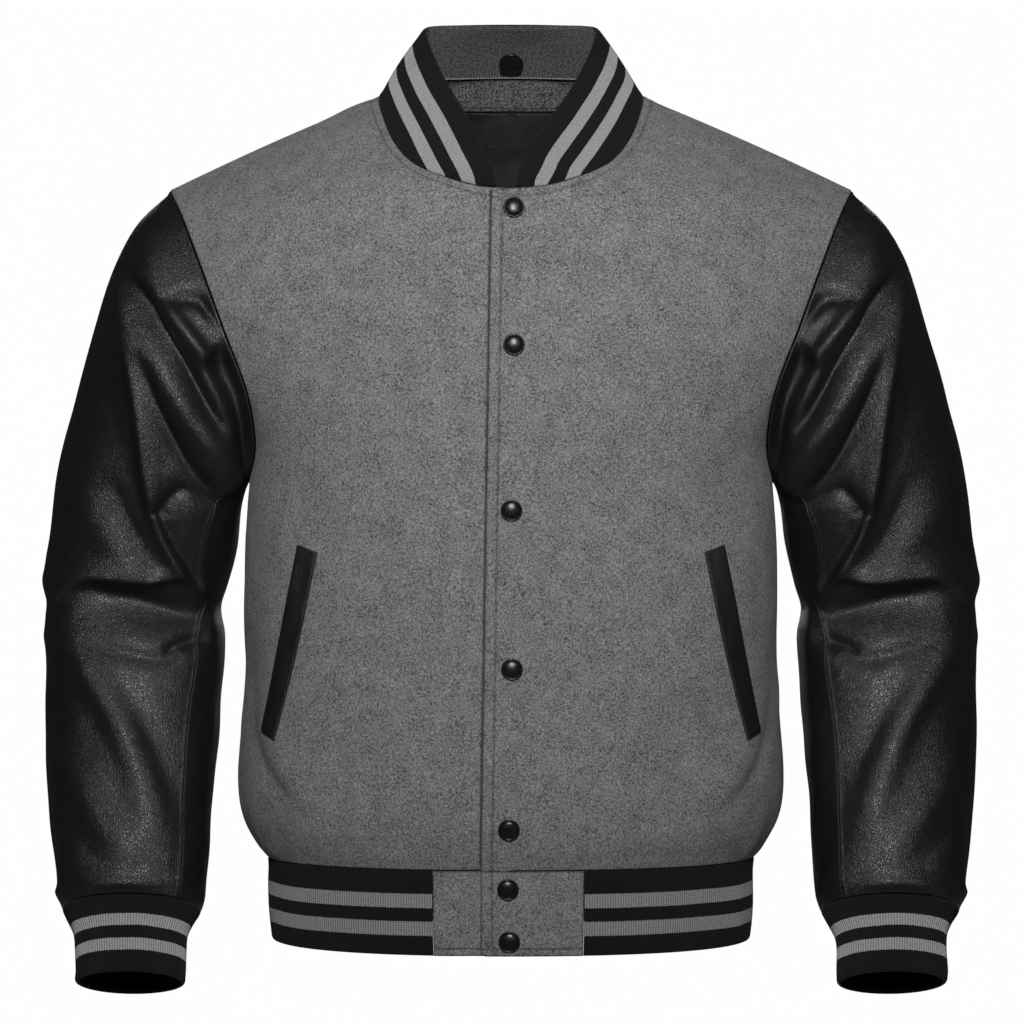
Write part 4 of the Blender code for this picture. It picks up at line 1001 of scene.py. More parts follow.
def collar_pieces():
    samples, pitch, height = 4, 2.04, 65.0
    ribs = int(round(COLLAR_KEYS[-1] / pitch))
    columns = ribs * samples + 1
    at = np.linspace(0, COLLAR_KEYS[-1], columns)
    down = marks(height, 2.5, edge=(0.0, 0.7, 1.5, 2.6, 4.0))
    grid = collar_points(at, down / height)
    tall = np.linalg.norm(grid[-1] - grid[0], axis=1)
    uv = np.stack(np.meshgrid(np.arange(columns) / samples, down), -1)
    uv[..., 1] = (1 - down / height)[:, None] * np.maximum(tall, 8)[None, :]     # mm below the top edge
    outer = Cloth("collar", RIB)
    outer.add(grid, uv, stride=(4, samples), ribs=ribbed(columns, down, samples, 0.42, height, 2))
    outer.edge(grid[0], rolled(1.8, 1.2)).edge(grid[-1], rolled(2.0, 1.5))
    outer.edge(grid[:, 0], rolled(1.6, 1.2)).edge(grid[:, -1], rolled(1.6, 1.2))
    outer.shape(lambda p, n: ripple(p, 40, 101) * 0.6)

    # the plain face inside, its fine ribs toward the neck
    columns = ribs * 3 + 1
    at = np.linspace(0, COLLAR_KEYS[-1], columns)
    down = marks(height * 0.965, 3.0, edge=(0.0, 0.6, 1.4, 2.6)) + height * 0.018
    face = collar_points(at, down / height)
    flat = Cloth("flat", 1.0)
    flat.add(face, np.zeros(face.shape[:2] + (2,)))
    flat.shape()
    n = flat.base_normals
    lookup = {tuple(np.round(p * 1000).astype(int)): k for k, p in enumerate(flat.base)}
    idx = np.array([[lookup[tuple(np.round(p * 1000).astype(int))] for p in row] for row in face])
    deep = RIB + 2.4 * GAP
    near = face - n[idx] * (deep + FACE_RIB)
    uv = np.stack(np.meshgrid(np.arange(columns) / 3, down), -1)
    inner = Cloth("collar_inner", FACE_RIB)
    inner.add(near, uv, core=lambda p: 2 * p - trunk(p), stride=(4, 3), ribs=ribbed(columns, down - down[0], 3, 0.3, height * 0.965))
    inner.edge(near[0], rolled(1.2, 0.6)).edge(near[-1], rolled(1.2, 0.6))
    inner.edge(near[:, 0], rolled(1.2, 0.6)).edge(near[:, -1], rolled(1.2, 0.6))
    inner.shape(lambda p, n: ripple(p, 36, 103) * 0.3)
    third = columns // 3
    inner.foot_ids = inner.inner_quads[0][0][2, third:-third:3]
    return outer, inner


# ---------------------------------------------------------------- pieces laid inside the neck
INSIDE = lambda p: 2 * p - trunk(p)


def under_neck(back):
    """The wool facing under the collar seam behind the neck, the lining below it and the bare label."""
    on = Laid(back.base, back.base_normals, back.q)

    def facing_point(step, side, down):
        p = neck(step)
        return (p + down * unit(np.array((p[0] * 0.8, p[1] * 0.3, -70.0)))) * (side, 1, 1)

    steps = np.linspace(8.2, 12, 46)
    places = [(s, -1) for s in steps] + [(s, 1) for s in steps[-2::-1]]
    downs = 1.2 + marks(26.8, 2.6, edge=(0.0, 0.6, 1.3, 2.4))
    grid = np.array([[on.nearest(facing_point(s, side, d), -WOOL - GAP - WOOL * 0.6)[0] for s, side in places]
                     for d in downs])
    facing = Cloth("neck_facing", WOOL * 0.6)
    facing.add(grid, uv_of(grid), core=INSIDE)
    facing.edge(grid[0], rolled(1.2, 0.5)).edge(grid[-1], rolled(1.4, 0.7), 3.0)
    facing.edge(grid[:, 0], rolled(1.2, 0.5)).edge(grid[:, -1], rolled(1.2, 0.5))
    facing.shape(lambda p, n: ripple(p, 30, 111) * 0.2)

    places = places[::2]
    parts = marks(100.0, 2.2, edge=(0.0, 0.4, 1.0, 2.0)) / 100

    def lining_row(part):
        row = []
        for s, side in places:
            p = facing_point(s, side, 28.6)
            low = np.array((p[0] * 1.04, 120.0, -150.0))
            row.append(on.nearest(p + (low - p) * part, -WOOL - GAP - 3.4 * min(1, 4 * part + 0.35) - SATIN)[0])
        return row

    grid = np.array([lining_row(f) for f in parts])
    lining = Cloth("back_lining", SATIN)
    lining.add(grid, uv_of(grid), core=INSIDE)
    for line in (grid[0], grid[-1], grid[:, 0], grid[:, -1]):
        lining.edge(line, rolled(1.0, 0.4))
    lining.shape(lambda p, n: ripple(p, 46, 113, (1, 1, 0.35)) * 0.9)

    xs = -21 + marks(36, 2.0, edge=(0.0, 0.5, 1.1, 2.0))
    zs = 1 - marks(46, 2.2, edge=(0.0, 0.5, 1.1, 2.0))
    grid = np.array([[on.nearest(np.array((x, 110.0, z)), -WOOL - 3 * GAP - 2 * SATIN - 4.6)[0] for x in xs] for z in zs])
    label = Cloth("neck_label", SATIN)
    label.add(grid, uv_of(grid), core=INSIDE)
    for line in (grid[0], grid[-1], grid[:, 0], grid[:, -1]):
        label.edge(line, rolled(0.9, 0.4), 1.6)
    label.shape(lambda p, n: ripple(p, 28, 117) * 0.25)
    return facing, lining, label


def welt(sign, front):
    """A leather pocket welt: a folded strip, its long edges turned in and the outer one sunk."""
    on = front.tree()
    a, b, c, d = WELT
    us, vs = marks(17.0, 1.5, edge=(0.0, 0.4, 0.9, 1.6, 2.4)) / 17.0, marks(147.0, 2.2, edge=(0.0, 0.4, 0.9, 1.6, 2.4)) / 147.0
    grid = []
    for v in vs:
        row = []
        for u in us:
            x, z = (a + (c - a) * v) * (1 - u) + (b + (d - b) * v) * u
            x -= 1.6 * math.sin(math.pi * v) * u          # the inner edge bows a little
            row.append(on.ray((sign * x, -400, z), (0, 1, 0), GAP + 0.6 + 1.6)[0])
        grid.append(row)
    grid = np.array(grid)
    uv = np.stack(np.meshgrid(us * 17, vs * 147), -1) * MM
    piece = Cloth("welt_left" if sign > 0 else "welt_right", 1.6)
    piece.add(grid, uv)
    piece.edge(grid[:, 0], rolled(2.6, 1.3)).edge(grid[:, -1], rolled(1.8, 1.1))
    piece.edge(grid[0], rolled(1.6, 1.0), 2.2).edge(grid[-1], rolled(1.6, 1.0), 2.2)
    piece.outer_edge = grid[:, 0]
    return piece.shape(lambda p, n: ripple(p, 40, 121) * 0.35)


# ---------------------------------------------------------------- snaps and stitches
def lathed(name, spot, n, profile, outline, node, mat):
    """A cap turned from a profile of (share of the outline, height); the outline is a closed line of (x, z)."""
    n = unit(np.asarray(n, float))
    across = unit(np.cross((0, 0, 1.0), n))
    up = np.cross(n, across)
    points, faces, k = [], [], len(outline)
    for share, height in profile:
        points += [spot + n * height + share * (x * across + z * up) for x, z in outline]
    rings = len(profile)
    for j in range(rings - 1):
        for i in range(k):
            m = (i + 1) % k
            faces.append((j * k + i, j * k + m, (j + 1) * k + m, (j + 1) * k + i))
    points += [spot + n * (profile[-1][1] + profile[-1][0] * 0.6), spot + n * profile[0][1]]
    for i in range(k):
        m = (i + 1) % k
        faces.append(((rings - 1) * k + i, (rings - 1) * k + m, len(points) - 2))
        faces.append((m, i, len(points) - 1))
    mesh = bpy.data.meshes.new(name)
    mesh.from_pydata((np.array(points) * MM).tolist(), [], faces)
    mesh.update()
    mesh.shade_smooth()
    mesh.set_sharp_from_angle(angle=math.radians(42))
    mesh.materials.append(mat)
    ob = bpy.data.objects.new(name, mesh)
    bpy.context.scene.collection.objects.link(ob)
    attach(ob, "root")
    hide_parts(node)
    return ob


def stitches(name, path, normals, mat, length=2.7, gap=0.7, thick=0.26, sink=0.05):
    """A row of thread stitches along a path: each a small bowed bar that dips in at its ends."""
    path, normals = np.asarray(path, float), unit(np.asarray(normals, float))
    d = lengths(path)
    at = np.arange(0.5, d[-1] - length, length + gap)
    if not len(at):
        return None
    u = np.array((0.0, 0.14, 0.5, 0.86, 1.0))
    rise = np.array((-0.35, 0.62, 1.0, 0.62, -0.35))
    girth = np.array((0.45, 0.95, 1.0, 0.95, 0.45))
    s = (at[:, None] + u[None, :] * length).ravel()
    p = np.stack([np.interp(s, d, path[:, c]) for c in range(3)], -1)
    n = unit(np.stack([np.interp(s, d, normals[:, c]) for c in range(3)], -1))
    q = np.stack([np.interp(s + 0.2, d, path[:, c]) for c in range(3)], -1)
    side = unit(np.cross(n, unit(q - p + 1e-9)))
    p = p + n * (np.tile(rise, len(at))[:, None] * thick - sink)
    sides = 6
    ang = np.arange(sides) * 2 * math.pi / sides
    r = np.tile(girth, len(at)) * thick
    ring = p[:, None, :] + r[:, None, None] * (np.cos(ang)[None, :, None] * side[:, None, :] * 1.25
                                               + np.sin(ang)[None, :, None] * n[:, None, :])
    verts = ring.reshape(-1, 3)
    faces = []
    for k in range(len(at)):
        base = k * 5 * sides
        for j in range(4):
            for i in range(sides):
                m = (i + 1) % sides
                faces.append((base + j * sides + i, base + (j + 1) * sides + i, base + (j + 1) * sides + m, base + j * sides + m))
        faces.append(tuple(base + i for i in range(sides)))
        faces.append(tuple(base + 4 * sides + i for i in range(sides))[::-1])
    mesh = bpy.data.meshes.new(name)
    mesh.from_pydata((verts * MM).tolist(), [], faces)
    mesh.update()
    mesh.shade_smooth()
    mesh.materials.append(mat)
    ob = bpy.data.objects.new(name, mesh)
    bpy.context.scene.collection.objects.link(ob)
    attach(ob, "root")
    return ob


def inset_line(piece, curve, inward, off=0.0):
    """The places on a piece a distance in from one of its edges, and the normals there."""
    on = Laid(piece.pts, piece.n, piece.q)
    curve = np.asarray(curve, float)
    spots = [on.nearest(p, 0.0) for p in curve]
    n = np.array([s[1] for s in spots])
    along_it = unit(np.gradient(curve, axis=0))
    into = unit(np.cross(n, along_it))
    centre_of = piece.pts.mean(0)
    sign = np.sign(((centre_of - curve) * into).sum(1).mean())
    laid = [on.nearest(p + sign * v * inward, off) for p, v in zip(curve, into)]
    return np.array([s[0] for s in laid]), np.array([s[1] for s in laid])


# ---------------------------------------------------------------- materials
class Nodes:
    """Short helpers to write a material's nodes."""

    def __init__(self, name):
        self.mat = bpy.data.materials.new(name)
        self.mat.use_nodes = True
        self.tree = self.mat.node_tree
        self.bsdf = self.tree.nodes["Principled BSDF"]
        self.obj = self.tree.nodes.new("ShaderNodeTexCoord").outputs["Object"]
        self.uv = self.tree.nodes.new("ShaderNodeUVMap")
        self.uv.uv_map = "cloth"
        self.uv = self.uv.outputs["UV"]

    def link(self, value, socket):
        if hasattr(value, "is_output"):
            self.tree.links.new(value, socket)
        elif value is not None:
            socket.default_value = value

    def math(self, op, a, b=None, c=None, clamp=False):
        n = self.tree.nodes.new("ShaderNodeMath")
        n.operation, n.use_clamp = op, clamp
        for k, v in enumerate((a, b, c)):
            if v is not None:
                self.link(v, n.inputs[k])
        return n.outputs[0]

    def mapped(self, vector, scale=(1, 1, 1), shift=(0, 0, 0), turn=(0, 0, 0)):
        n = self.tree.nodes.new("ShaderNodeMapping")
        self.link(vector, n.inputs["Vector"])
        n.inputs["Scale"].default_value = scale
        n.inputs["Location"].default_value = shift
        n.inputs["Rotation"].default_value = turn
        return n.outputs[0]

    def noise(self, vector, scale, detail=2.0, rough=0.5, lump=0.0, out="Fac"):
        n = self.tree.nodes.new("ShaderNodeTexNoise")
        self.link(vector, n.inputs["Vector"])
        n.inputs["Scale"].default_value = scale
        n.inputs["Detail"].default_value = detail
        n.inputs["Roughness"].default_value = rough
        n.inputs["Distortion"].default_value = lump
        return n.outputs[out]

    def cells(self, vector, scale, feature="DISTANCE_TO_EDGE", out="Distance", random=1.0):
        n = self.tree.nodes.new("ShaderNodeTexVoronoi")
        n.feature = feature
        self.link(vector, n.inputs["Vector"])
        n.inputs["Scale"].default_value = scale
        n.inputs["Randomness"].default_value = random
        return n.outputs[out]

    def ramp(self, value, stops, kind="LINEAR"):
        n = self.tree.nodes.new("ShaderNodeValToRGB")
        n.color_ramp.interpolation = kind
        while len(n.color_ramp.elements) < len(stops):
            n.color_ramp.elements.new(0.5)
        for e, (at, c) in zip(n.color_ramp.elements, stops):
            e.position = at
            e.color = (*c, 1) if hasattr(c, "__len__") else (c, c, c, 1)
        self.link(value, n.inputs["Fac"])
        return n.outputs["Color"]

    def span(self, value, lo, hi, out_lo=0.0, out_hi=1.0, smooth=True):
        n = self.tree.nodes.new("ShaderNodeMapRange")
        n.interpolation_type = "SMOOTHSTEP" if smooth else "LINEAR"
        self.link(value, n.inputs["Value"])
        for k, v in zip(("From Min", "From Max", "To Min", "To Max"), (lo, hi, out_lo, out_hi)):
            n.inputs[k].default_value = v
        return n.outputs["Result"]

    def mix(self, fac, a, b, blend="MIX"):
        n = self.tree.nodes.new("ShaderNodeMix")
        n.data_type, n.blend_type = "RGBA", blend
        self.link(fac, n.inputs["Factor"])
        for value, socket in ((a, n.inputs["A"]), (b, n.inputs["B"])):
            pass
        ins = [i for i in n.inputs if i.type == "RGBA"]
        for value, socket in ((a, ins[0]), (b, ins[1])):
            self.link(value if hasattr(value, "is_output") or hasattr(value, "__len__") and len(value) == 4
                      else (*value, 1) if hasattr(value, "__len__") else (value, value, value, 1), socket)
        return [o for o in n.outputs if o.type == "RGBA"][0]

    def attribute(self, name):
        n = self.tree.nodes.new("ShaderNodeAttribute")
        n.attribute_type, n.attribute_name = "GEOMETRY", name
        return n.outputs["Fac"]

    def split(self, vector):
        n = self.tree.nodes.new("ShaderNodeSeparateXYZ")
        self.link(vector, n.inputs[0])
        return n.outputs

    def bump(self, height, strength, distance, under=None):
        n = self.tree.nodes.new("ShaderNodeBump")
        self.link(height, n.inputs["Height"])
        n.inputs["Strength"].default_value = strength
        n.inputs["Distance"].default_value = distance
        if under is not None:
            self.link(under, n.inputs["Normal"])
        return n.outputs["Normal"]

    def set(self, **values):
        for key, v in values.items():
            self.link(v, self.bsdf.inputs[key.replace("_", " ")])
        return self.mat


def melton(name, tone=1.0, flecks=1.0):
    """Felted wool: a heather of light and dark fibres, with a short nap."""
    m = Nodes(name)
    mottle = m.noise(m.obj, 760, 2.0, 0.5, 0.3)
    broad = m.noise(m.obj, 62, 3.0, 0.55)
    fibre_a = m.noise(m.mapped(m.obj, (900, 900, 3300), turn=(0.3, 0.2, 0.6)), 1.0, 2.0, 0.6, 0.8)
    fibre_b = m.noise(m.mapped(m.obj, (3000, 1000, 900), turn=(0.1, 0.7, 0.2)), 1.0, 2.0, 0.6, 0.8)
    fibre = m.math("MAXIMUM", m.span(fibre_a, 0.56, 0.74), m.span(fibre_b, 0.58, 0.76))
    dark = m.math("MAXIMUM", m.span(fibre_a, 0.44, 0.30), m.span(fibre_b, 0.42, 0.28))
    v = m.math("ADD", m.math("MULTIPLY", m.math("SUBTRACT", mottle, 0.5), 3.4 * flecks), m.math("MULTIPLY", m.math("SUBTRACT", broad, 0.5), 0.7))
    v = m.math("ADD", v, m.math("MULTIPLY", fibre, 0.36))
    v = m.math("SUBTRACT", v, m.math("MULTIPLY", dark, 0.24))
    v = m.math("MAXIMUM", m.math("ADD", v, 1.0), 0.12)
    stitch = m.math("ABSOLUTE", m.attribute("stitch"))
    line = m.span(stitch, 0.35, 1.0)
    # painted shade: the wool's colour falls to 0.30 at seams and edges (within 2 mm) and to 0.74 along the topstitch
    # groove
    seam = m.span(m.attribute("seam"), 0.0, 2.0, 0.30, 1.0)
    v = m.math("MULTIPLY", v, m.math("MULTIPLY", seam, m.span(stitch, 0.3, 1.3, 0.74, 1.0)))
    base = 0.150 * tone
    v = m.math("MULTIPLY", v, base)
    colour = m.tree.nodes.new("ShaderNodeCombineColor")
    for k, f in enumerate((1.0, 1.0, 1.012)):
        m.link(m.math("MULTIPLY", v, f), colour.inputs[k])
    nap = m.bump(m.noise(m.obj, 900, 4.0, 0.7, 0.6), 0.5, 0.0007)
    nap = m.bump(fibre, 0.35, 0.0004, nap)
    nap = m.bump(mottle, 0.25, 0.0008, nap)
    nap = m.bump(line, 0.8, 0.0010, nap)
    return m.set(Base_Color=colour.outputs[0], Roughness=0.93, Normal=nap, Sheen_Weight=0.1, Sheen_Roughness=0.45,
                 Sheen_Tint=(0.75, 0.75, 0.77, 1), Specular_IOR_Level=0.2)


def hide(name, base=0.0056, rough=0.37, shine=0.53):
    """Black garment leather: fine pebbled grain, creased softly, a little rougher in the furrows between its grains."""
    m = Nodes(name)
    warp = m.noise(m.obj, 70, 2.0, 0.5, 0.0, "Color")
    n = m.tree.nodes.new("ShaderNodeMix")
    n.data_type, n.blend_type = "RGBA", "LINEAR_LIGHT"
    n.inputs["Factor"].default_value = 0.003
    ins = [i for i in n.inputs if i.type == "RGBA"]
    m.link(m.obj, ins[0])
    m.link(warp, ins[1])
    place = [o for o in n.outputs if o.type == "RGBA"][0]
    cell = m.cells(place, 680)
    cell2 = m.cells(m.mapped(place, (1, 1, 0.6)), 400)
    pore = m.noise(m.obj, 2400, 2.0, 0.6)
    wrinkle = m.noise(m.mapped(m.obj, (1, 1, 1.7)), 190, 3.0, 0.55, 1.6)
    grain = m.math("ADD", m.span(cell, 0.0, 0.16), m.math("MULTIPLY", m.span(cell2, 0.0, 0.12), 0.6))
    nrm = m.bump(wrinkle, 0.08, 0.0018)
    nrm = m.bump(grain, 0.38, 0.0005, nrm)
    nrm = m.bump(pore, 0.25, 0.00015, nrm)
    tone = m.noise(m.obj, 16, 3.0, 0.6)
    value = m.span(tone, 0.3, 0.7, base * 0.85, base * 1.3, smooth=False)
    # painted shade: the leather's colour falls to half at seams and edges (within 1.4 mm)
    value = m.math("MULTIPLY", value, m.span(m.attribute("seam"), 0.0, 1.4, 0.5, 1.0))
    colour = m.tree.nodes.new("ShaderNodeCombineColor")
    for k, f in enumerate((1.0, 1.0, 1.03)):
        m.link(m.math("MULTIPLY", value, f), colour.inputs[k])
    r = m.span(m.noise(m.obj, 120, 4.0, 0.65), 0.25, 0.75, rough - 0.04, rough + 0.07, smooth=False)
    r = m.math("ADD", r, m.math("MULTIPLY", m.math("SUBTRACT", 1.0, m.span(cell, 0.0, 0.12)), 0.08))
    return m.set(Base_Color=colour.outputs[0], Roughness=r, Normal=nrm, Specular_IOR_Level=shine)


def knit(name, stripes, dark=0.0062, light=0.30, mottled=0.35, course=1.35, base_grey=None):
    """Ribbed knit: courses of small V loops along each rib. Stripes are (from, to) in mm along v."""
    m = Nodes(name)
    u, v, _ = m.split(m.uv)
    wob = m.math("MULTIPLY", m.math("SUBTRACT", m.noise(m.mapped(m.uv, (0.9, 0.22, 1)), 1.0, 2.0, 0.6), 0.5), 0.8)
    loop = m.math("ADD", v, m.math("MULTIPLY", m.math("PINGPONG", u, 0.5), 0.7))
    edge = m.math("ADD", m.math("ADD", v, m.math("MULTIPLY", m.math("PINGPONG", m.math("ADD", u, 0.5), 0.5), 0.55)), wob)
    if base_grey is None:
        mask = None
        for a, b in stripes:
            inside = m.math("MULTIPLY", m.span(edge, a - 0.22, a + 0.22), m.span(edge, b + 0.22, b - 0.22))
            mask = inside if mask is None else m.math("MAXIMUM", mask, inside)
    else:
        mask = None
    fleck = m.math("ADD", m.math("MULTIPLY", m.noise(m.mapped(m.uv, (3.0, 0.75, 1)), 1.0, 3.0, 0.7), 0.5),
                   m.math("MULTIPLY", m.noise(m.mapped(m.uv, (0.9, 0.4, 1)), 1.0, 2.0, 0.6), 0.5))
    fleck = m.math("ADD", 1.0, m.math("MULTIPLY", m.math("SUBTRACT", fleck, 0.5), 3.4 * mottled))
    course_wave = m.math("SINE", m.math("MULTIPLY", loop, 2 * math.pi / course))
    yarn = m.noise(m.mapped(m.uv, (7.0, 3.4, 1)), 1.0, 2.0, 0.6)
    # painted shade: the colour in the valleys between ribs falls to 0.30
    groove_shade = m.span(m.math("PINGPONG", u, 0.5), 0.0, 0.2, 0.30, 1.0)
    grey = m.math("MULTIPLY", fleck, base_grey or light)
    black = m.math("MULTIPLY", fleck, dark)
    if mask is None:
        value = grey
    else:
        value = m.math("ADD", m.math("MULTIPLY", grey, mask), m.math("MULTIPLY", black, m.math("SUBTRACT", 1.0, mask)))
    value = m.math("MULTIPLY", value, groove_shade)
    # painted shade: the colour is darker between the courses of loops, following the same wave as their bump
    value = m.math("MULTIPLY", value, m.math("ADD", 0.93, m.math("MULTIPLY", course_wave, 0.09)))
    colour = m.tree.nodes.new("ShaderNodeCombineColor")
    for k, f in enumerate((1.0, 1.0, 1.01)):
        m.link(m.math("MULTIPLY", value, f), colour.inputs[k])
    nrm = m.bump(course_wave, 0.45, 0.0003)
    nrm = m.bump(yarn, 0.35, 0.0003, nrm)
    return m.set(Base_Color=colour.outputs[0], Roughness=0.9, Normal=nrm, Sheen_Weight=0.08, Sheen_Roughness=0.5,
                 Sheen_Tint=(0.6, 0.6, 0.62, 1), Specular_IOR_Level=0.15)


def satin(name, base=0.0045, rough=0.5):
    """Black twill lining: fine slanted ribs and soft creases."""
    m = Nodes(name)
    x, y, z = m.split(m.obj)
    slant = m.math("SINE", m.math("MULTIPLY", m.math("ADD", m.math("ADD", x, y), z), 2 * math.pi / 0.0011))
    soft = m.noise(m.mapped(m.obj, (1, 1, 0.35)), 42, 3.0, 0.5, 0.8)
    nrm = m.bump(soft, 0.4, 0.004)
    nrm = m.bump(slant, 0.25, 0.00012, nrm)
    value = m.span(m.noise(m.obj, 30, 2.0), 0.3, 0.7, base * 0.85, base * 1.2)
    colour = m.tree.nodes.new("ShaderNodeCombineColor")
    for k in range(3):
        m.link(value, colour.inputs[k])
    return m.set(Base_Color=colour.outputs[0], Roughness=rough, Normal=nrm, Specular_IOR_Level=0.17, Sheen_Weight=0.03)


def enamel(name):
    """Glossy black lacquer on the snaps, finely scuffed."""
    m = Nodes(name)
    scuff = m.noise(m.obj, 500, 4.0, 0.6)
    r = m.span(scuff, 0.35, 0.75, 0.22, 0.31)
    nrm = m.bump(m.noise(m.obj, 260, 2.0), 0.03, 0.0004)
    value = m.span(scuff, 0.3, 0.8, 0.005, 0.010)
    colour = m.tree.nodes.new("ShaderNodeCombineColor")
    for k in range(3):
        m.link(value, colour.inputs[k])
    return m.set(Base_Color=colour.outputs[0], Roughness=r, Normal=nrm, Specular_IOR_Level=0.24)


def thread(name, base):
    m = Nodes(name)
    twist = m.noise(m.obj, 2600, 2.0, 0.6)
    value = m.span(twist, 0.3, 0.7, base * 0.75, base * 1.2)
    colour = m.tree.nodes.new("ShaderNodeCombineColor")
    for k in range(3):
        m.link(value, colour.inputs[k])
    return m.set(Base_Color=colour.outputs[0], Roughness=0.75, Normal=m.bump(twist, 0.4, 0.0001))


# the neck facing is the body wool at 0.45 of its tone: painted shade inside the neck
WOOL_MAT, FACING_SHADED_MAT = melton("wool"), melton("facing_wool_shaded", 0.45, 1.7)
LEATHER_MAT, WELT_MAT = hide("leather"), hide("welt_leather", 0.0042, 0.44, 0.48)
# the under-sleeve pieces get a darker, less shiny copy of the sleeve leather: painted shade of the underarm
UNDER_SLEEVE_SHADED_MAT = hide("leather_under_shaded", 0.0048, 0.46, 0.30)
# the same striped rib as the collar, in copies set lighter or darker by piece: the hem's grey darker (painted shade),
# the cuffs' grey and black lighter (painted light)
HEM_RIB_SHADED_MAT = knit("rib_hem_shaded", ((18.0, 28.8), (39.2, 50.0)), dark=0.0068, light=0.248)
CUFF_RIB_LIT_MAT = knit("rib_cuff_lit", ((15.7, 25.2), (35.2, 44.6)), dark=0.0095, light=0.36)
COLLAR_MAT = knit("rib_collar", ((16, 26.5), (37, 47.5)))
INNER_MAT = knit("rib_inner", (), mottled=1.7, base_grey=0.082)
PLAIN_MAT = knit("rib_plain", (), mottled=0.4, base_grey=0.0046)
SATIN_MAT, LABEL_MAT = satin("lining"), satin("label", 0.006, 0.6)
ENAMEL_MAT = enamel("enamel")
COLLAR_THREAD, LEATHER_THREAD = thread("thread_grey", 0.23), thread("thread_dark", 0.10)

# ---------------------------------------------------------------- making the jacket
fronts = {s: body_front(s) for s in (1, -1)}
back = body_back()
sleeves = {(s, u): sleeve_piece(s, u) for s in (1, -1) for u in (False, True)}
hem = hem_rib()
tabs = {s: tab(s) for s in (1, -1)}
cuffs = {s: cuff(s) for s in (1, -1)}
collar, collar_inner = collar_pieces()
facing, lining, label = under_neck(back)
welts = {s: welt(s, fronts[s]) for s in (1, -1)}


for s, p in fronts.items():
    p.build(WOOL_MAT, SATIN_MAT, "wool")
back.build(WOOL_MAT, SATIN_MAT, "wool")
for (_, lower), p in sleeves.items():
    p.build(UNDER_SLEEVE_SHADED_MAT if lower else LEATHER_MAT, SATIN_MAT, "leather", sharp=None)
hem.build(HEM_RIB_SHADED_MAT, PLAIN_MAT, "rib", sharp=None)
for p in tabs.values():
    p.build(WOOL_MAT, SATIN_MAT, "wool")
for p in cuffs.values():
    p.build(CUFF_RIB_LIT_MAT, PLAIN_MAT, "rib", sharp=None)
collar.build(COLLAR_MAT, INNER_MAT, "rib", sharp=None)
collar_inner.build(INNER_MAT, None, "rib_inner", sharp=None)
facing.build(FACING_SHADED_MAT, None, "facing")
lining.build(SATIN_MAT, None, "satin")
label.build(LABEL_MAT, None, "label")
for p in welts.values():
    p.build(WELT_MAT, None, "welt")

# snaps: a domed cap in a rolled rim
RING = [(CAP_R * math.cos(2 * math.pi * i / 56), CAP_R * math.sin(2 * math.pi * i / 56)) for i in range(56)]
CAP = ((0.90, 0.0), (0.965, 0.25), (0.995, 0.7), (1.0, 1.15), (0.985, 1.6), (0.95, 1.9), (0.905, 2.0), (0.865, 1.88),
       (0.84, 1.62), (0.815, 1.58), (0.785, 1.78), (0.72, 2.08), (0.62, 2.36), (0.5, 2.6), (0.37, 2.78), (0.24, 2.9),
       (0.12, 2.97), (0.04, 3.0))
on_front, on_tab = fronts[1].tree(), tabs[1].tree()
for number, (x, z) in enumerate(SNAPS, 1):
    spot, n = (on_front if z > HEM_Z else on_tab).ray((x, -400, z), (0, 1, 0), 0.1)
    lathed("snap_%d_cap" % number, spot, n, CAP, RING, "snap_%d" % number, ENAMEL_MAT)
on_inner = Laid(collar_inner.base, collar_inner.base_normals, collar_inner.q)
spot, n = on_inner.ray((0, 0, HOOD_SNAP_Z), (0, 1, 0), 1.9)
DEE = [(10.0 * math.cos(math.radians(a)), 10.0 * math.sin(math.radians(a)) + 1.0) for a in range(-15, 196, 5)]
DEE += [(-9.4, -4.5), (-8.7, -6.6), (-7.3, -8.0), (-5.5, -8.5), (0, -8.6), (5.5, -8.5), (7.3, -8.0), (8.7, -6.6), (9.4, -4.5)]
lathed("hood_snap_cap", spot, n, [(0.96, -2.2), (0.985, -0.6)] + [(a, b * 0.7) for a, b in CAP[3:]],
       [(-x, z) for x, z in DEE][::-1], "hood_snap", ENAMEL_MAT)

# a row of stitches beside each sleeve's front seam
for s in (1, -1):
    top_piece = sleeves[(s, False)]
    path, ns = inset_line(top_piece, top_piece.seams[1][::3], 1.8)
    stitches("sleeve_stitch_%s" % ("left" if s > 0 else "right"), path[4:-2], ns[4:-2], LEATHER_THREAD,
             length=3.2, gap=0.45, thick=0.24)

# the overlocked edge of the inner collar, over the neck facing
low_line = collar_inner.base[collar_inner.foot_ids]
stitches("collar_overlock", low_line, collar_inner.base_normals[collar_inner.foot_ids], COLLAR_THREAD,
         length=1.7, gap=0.45, thick=0.5)

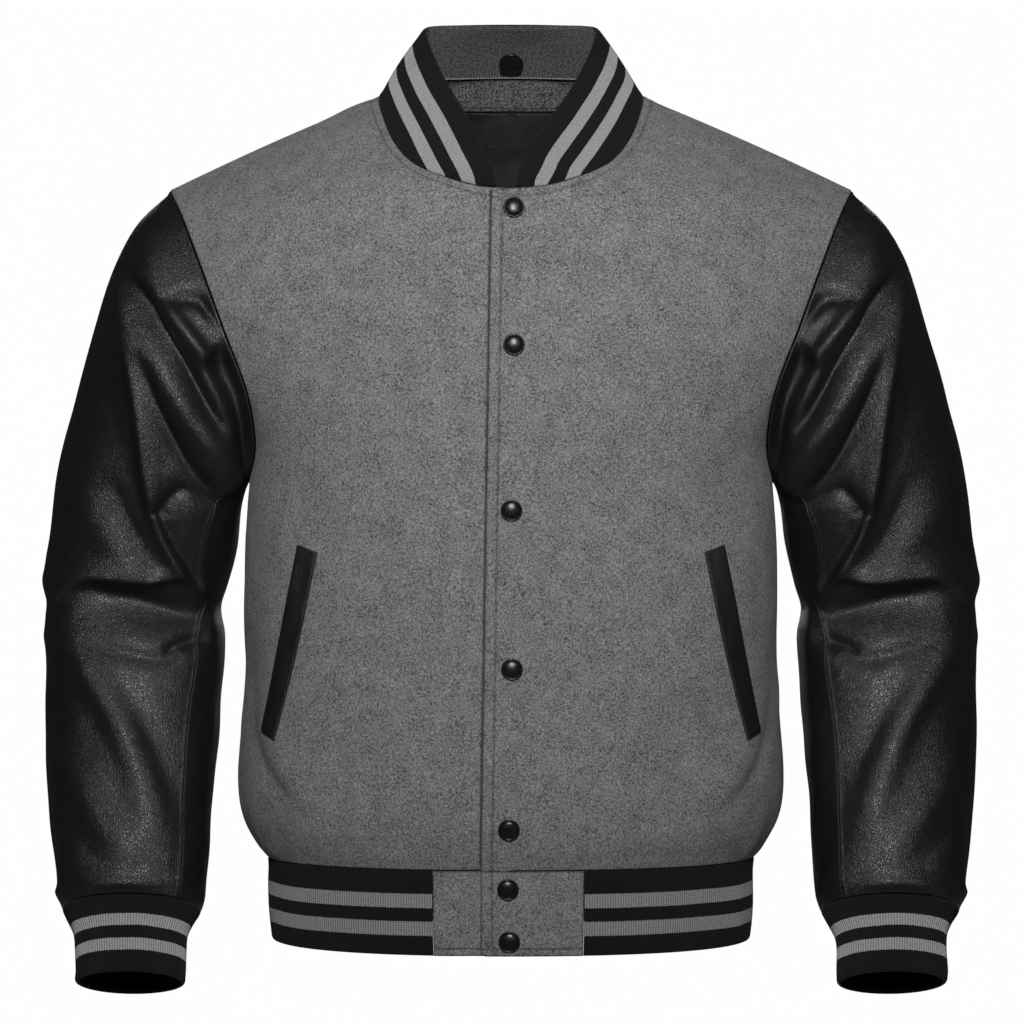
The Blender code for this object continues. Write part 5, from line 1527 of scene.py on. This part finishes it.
# ---------------------------------------------------------------- stage, light and camera
scene = bpy.context.scene
scene.view_settings.view_transform = "Standard"
world = bpy.data.worlds.new("studio")
scene.world = world
world.use_nodes = True
wt = world.node_tree
wt.nodes.clear()
path = wt.nodes.new("ShaderNodeLightPath")
dim, bright = wt.nodes.new("ShaderNodeBackground"), wt.nodes.new("ShaderNodeBackground")
dim.inputs["Color"].default_value = (1, 1, 1, 1)
dim.inputs["Strength"].default_value = 0.035
bright.inputs["Color"].default_value = (0.991, 0.991, 0.991, 1)
bright.inputs["Strength"].default_value = 1.0
both = wt.nodes.new("ShaderNodeMixShader")
out = wt.nodes.new("ShaderNodeOutputWorld")
wt.links.new(path.outputs["Is Camera Ray"], both.inputs[0])
wt.links.new(dim.outputs[0], both.inputs[1])
wt.links.new(bright.outputs[0], both.inputs[2])
wt.links.new(both.outputs[0], out.inputs[0])

floor_mesh = bpy.data.meshes.new("floor")
ring = [(2.6 * math.cos(2 * math.pi * i / 64), 2.6 * math.sin(2 * math.pi * i / 64), -1.7) for i in range(64)]
floor_mesh.from_pydata(ring, [], [tuple(range(64))])
floor = bpy.data.objects.new("floor", floor_mesh)
scene.collection.objects.link(floor)
pale = Nodes("pale_floor")
floor_mesh.materials.append(pale.set(Base_Color=(0.82, 0.82, 0.82, 1), Roughness=0.8))
seen, glow, either = (pale.tree.nodes.new("ShaderNode" + kind) for kind in ("LightPath", "Emission", "MixShader"))
glow.inputs["Color"].default_value = (0.93, 0.93, 0.93, 1)
sheet_out = [n for n in pale.tree.nodes if n.type == "OUTPUT_MATERIAL"][0]
pale.tree.links.new(seen.outputs["Is Camera Ray"], either.inputs[0])
pale.tree.links.new(pale.bsdf.outputs[0], either.inputs[1])
pale.tree.links.new(glow.outputs[0], either.inputs[2])
pale.tree.links.new(either.outputs[0], sheet_out.inputs["Surface"])


def softbox(name, place, target, size, power, spread=180):
    light = bpy.data.lights.new(name, "AREA")
    light.shape, light.size, light.size_y, light.energy = "RECTANGLE", size[0], size[1], power
    light.spread = math.radians(spread)
    ob = bpy.data.objects.new(name, light)
    scene.collection.objects.link(ob)
    ob.location = place
    ob.rotation_euler = (Vector(target) - Vector(place)).to_track_quat("-Z", "Y").to_euler()
    return ob


softbox("top_front", (0.0, -2.3, 0.62), (0, 0, 0.0), (0.6, 0.85), 12.0, 75)
softbox("behind", (0.0, 2.6, 0.5), (0, 0, -0.2), (1.8, 1.2), 48)

camera = bpy.data.cameras.new("camera")
camera.sensor_width = 36.0
camera.lens = 36.0 * 2.7 / (1024 * 0.0008)
view = bpy.data.objects.new("camera", camera)
scene.collection.objects.link(view)
view.location = (0.0008, -2.7, -0.3056)
view.rotation_euler = (math.radians(90), 0, 0)
scene.camera = view
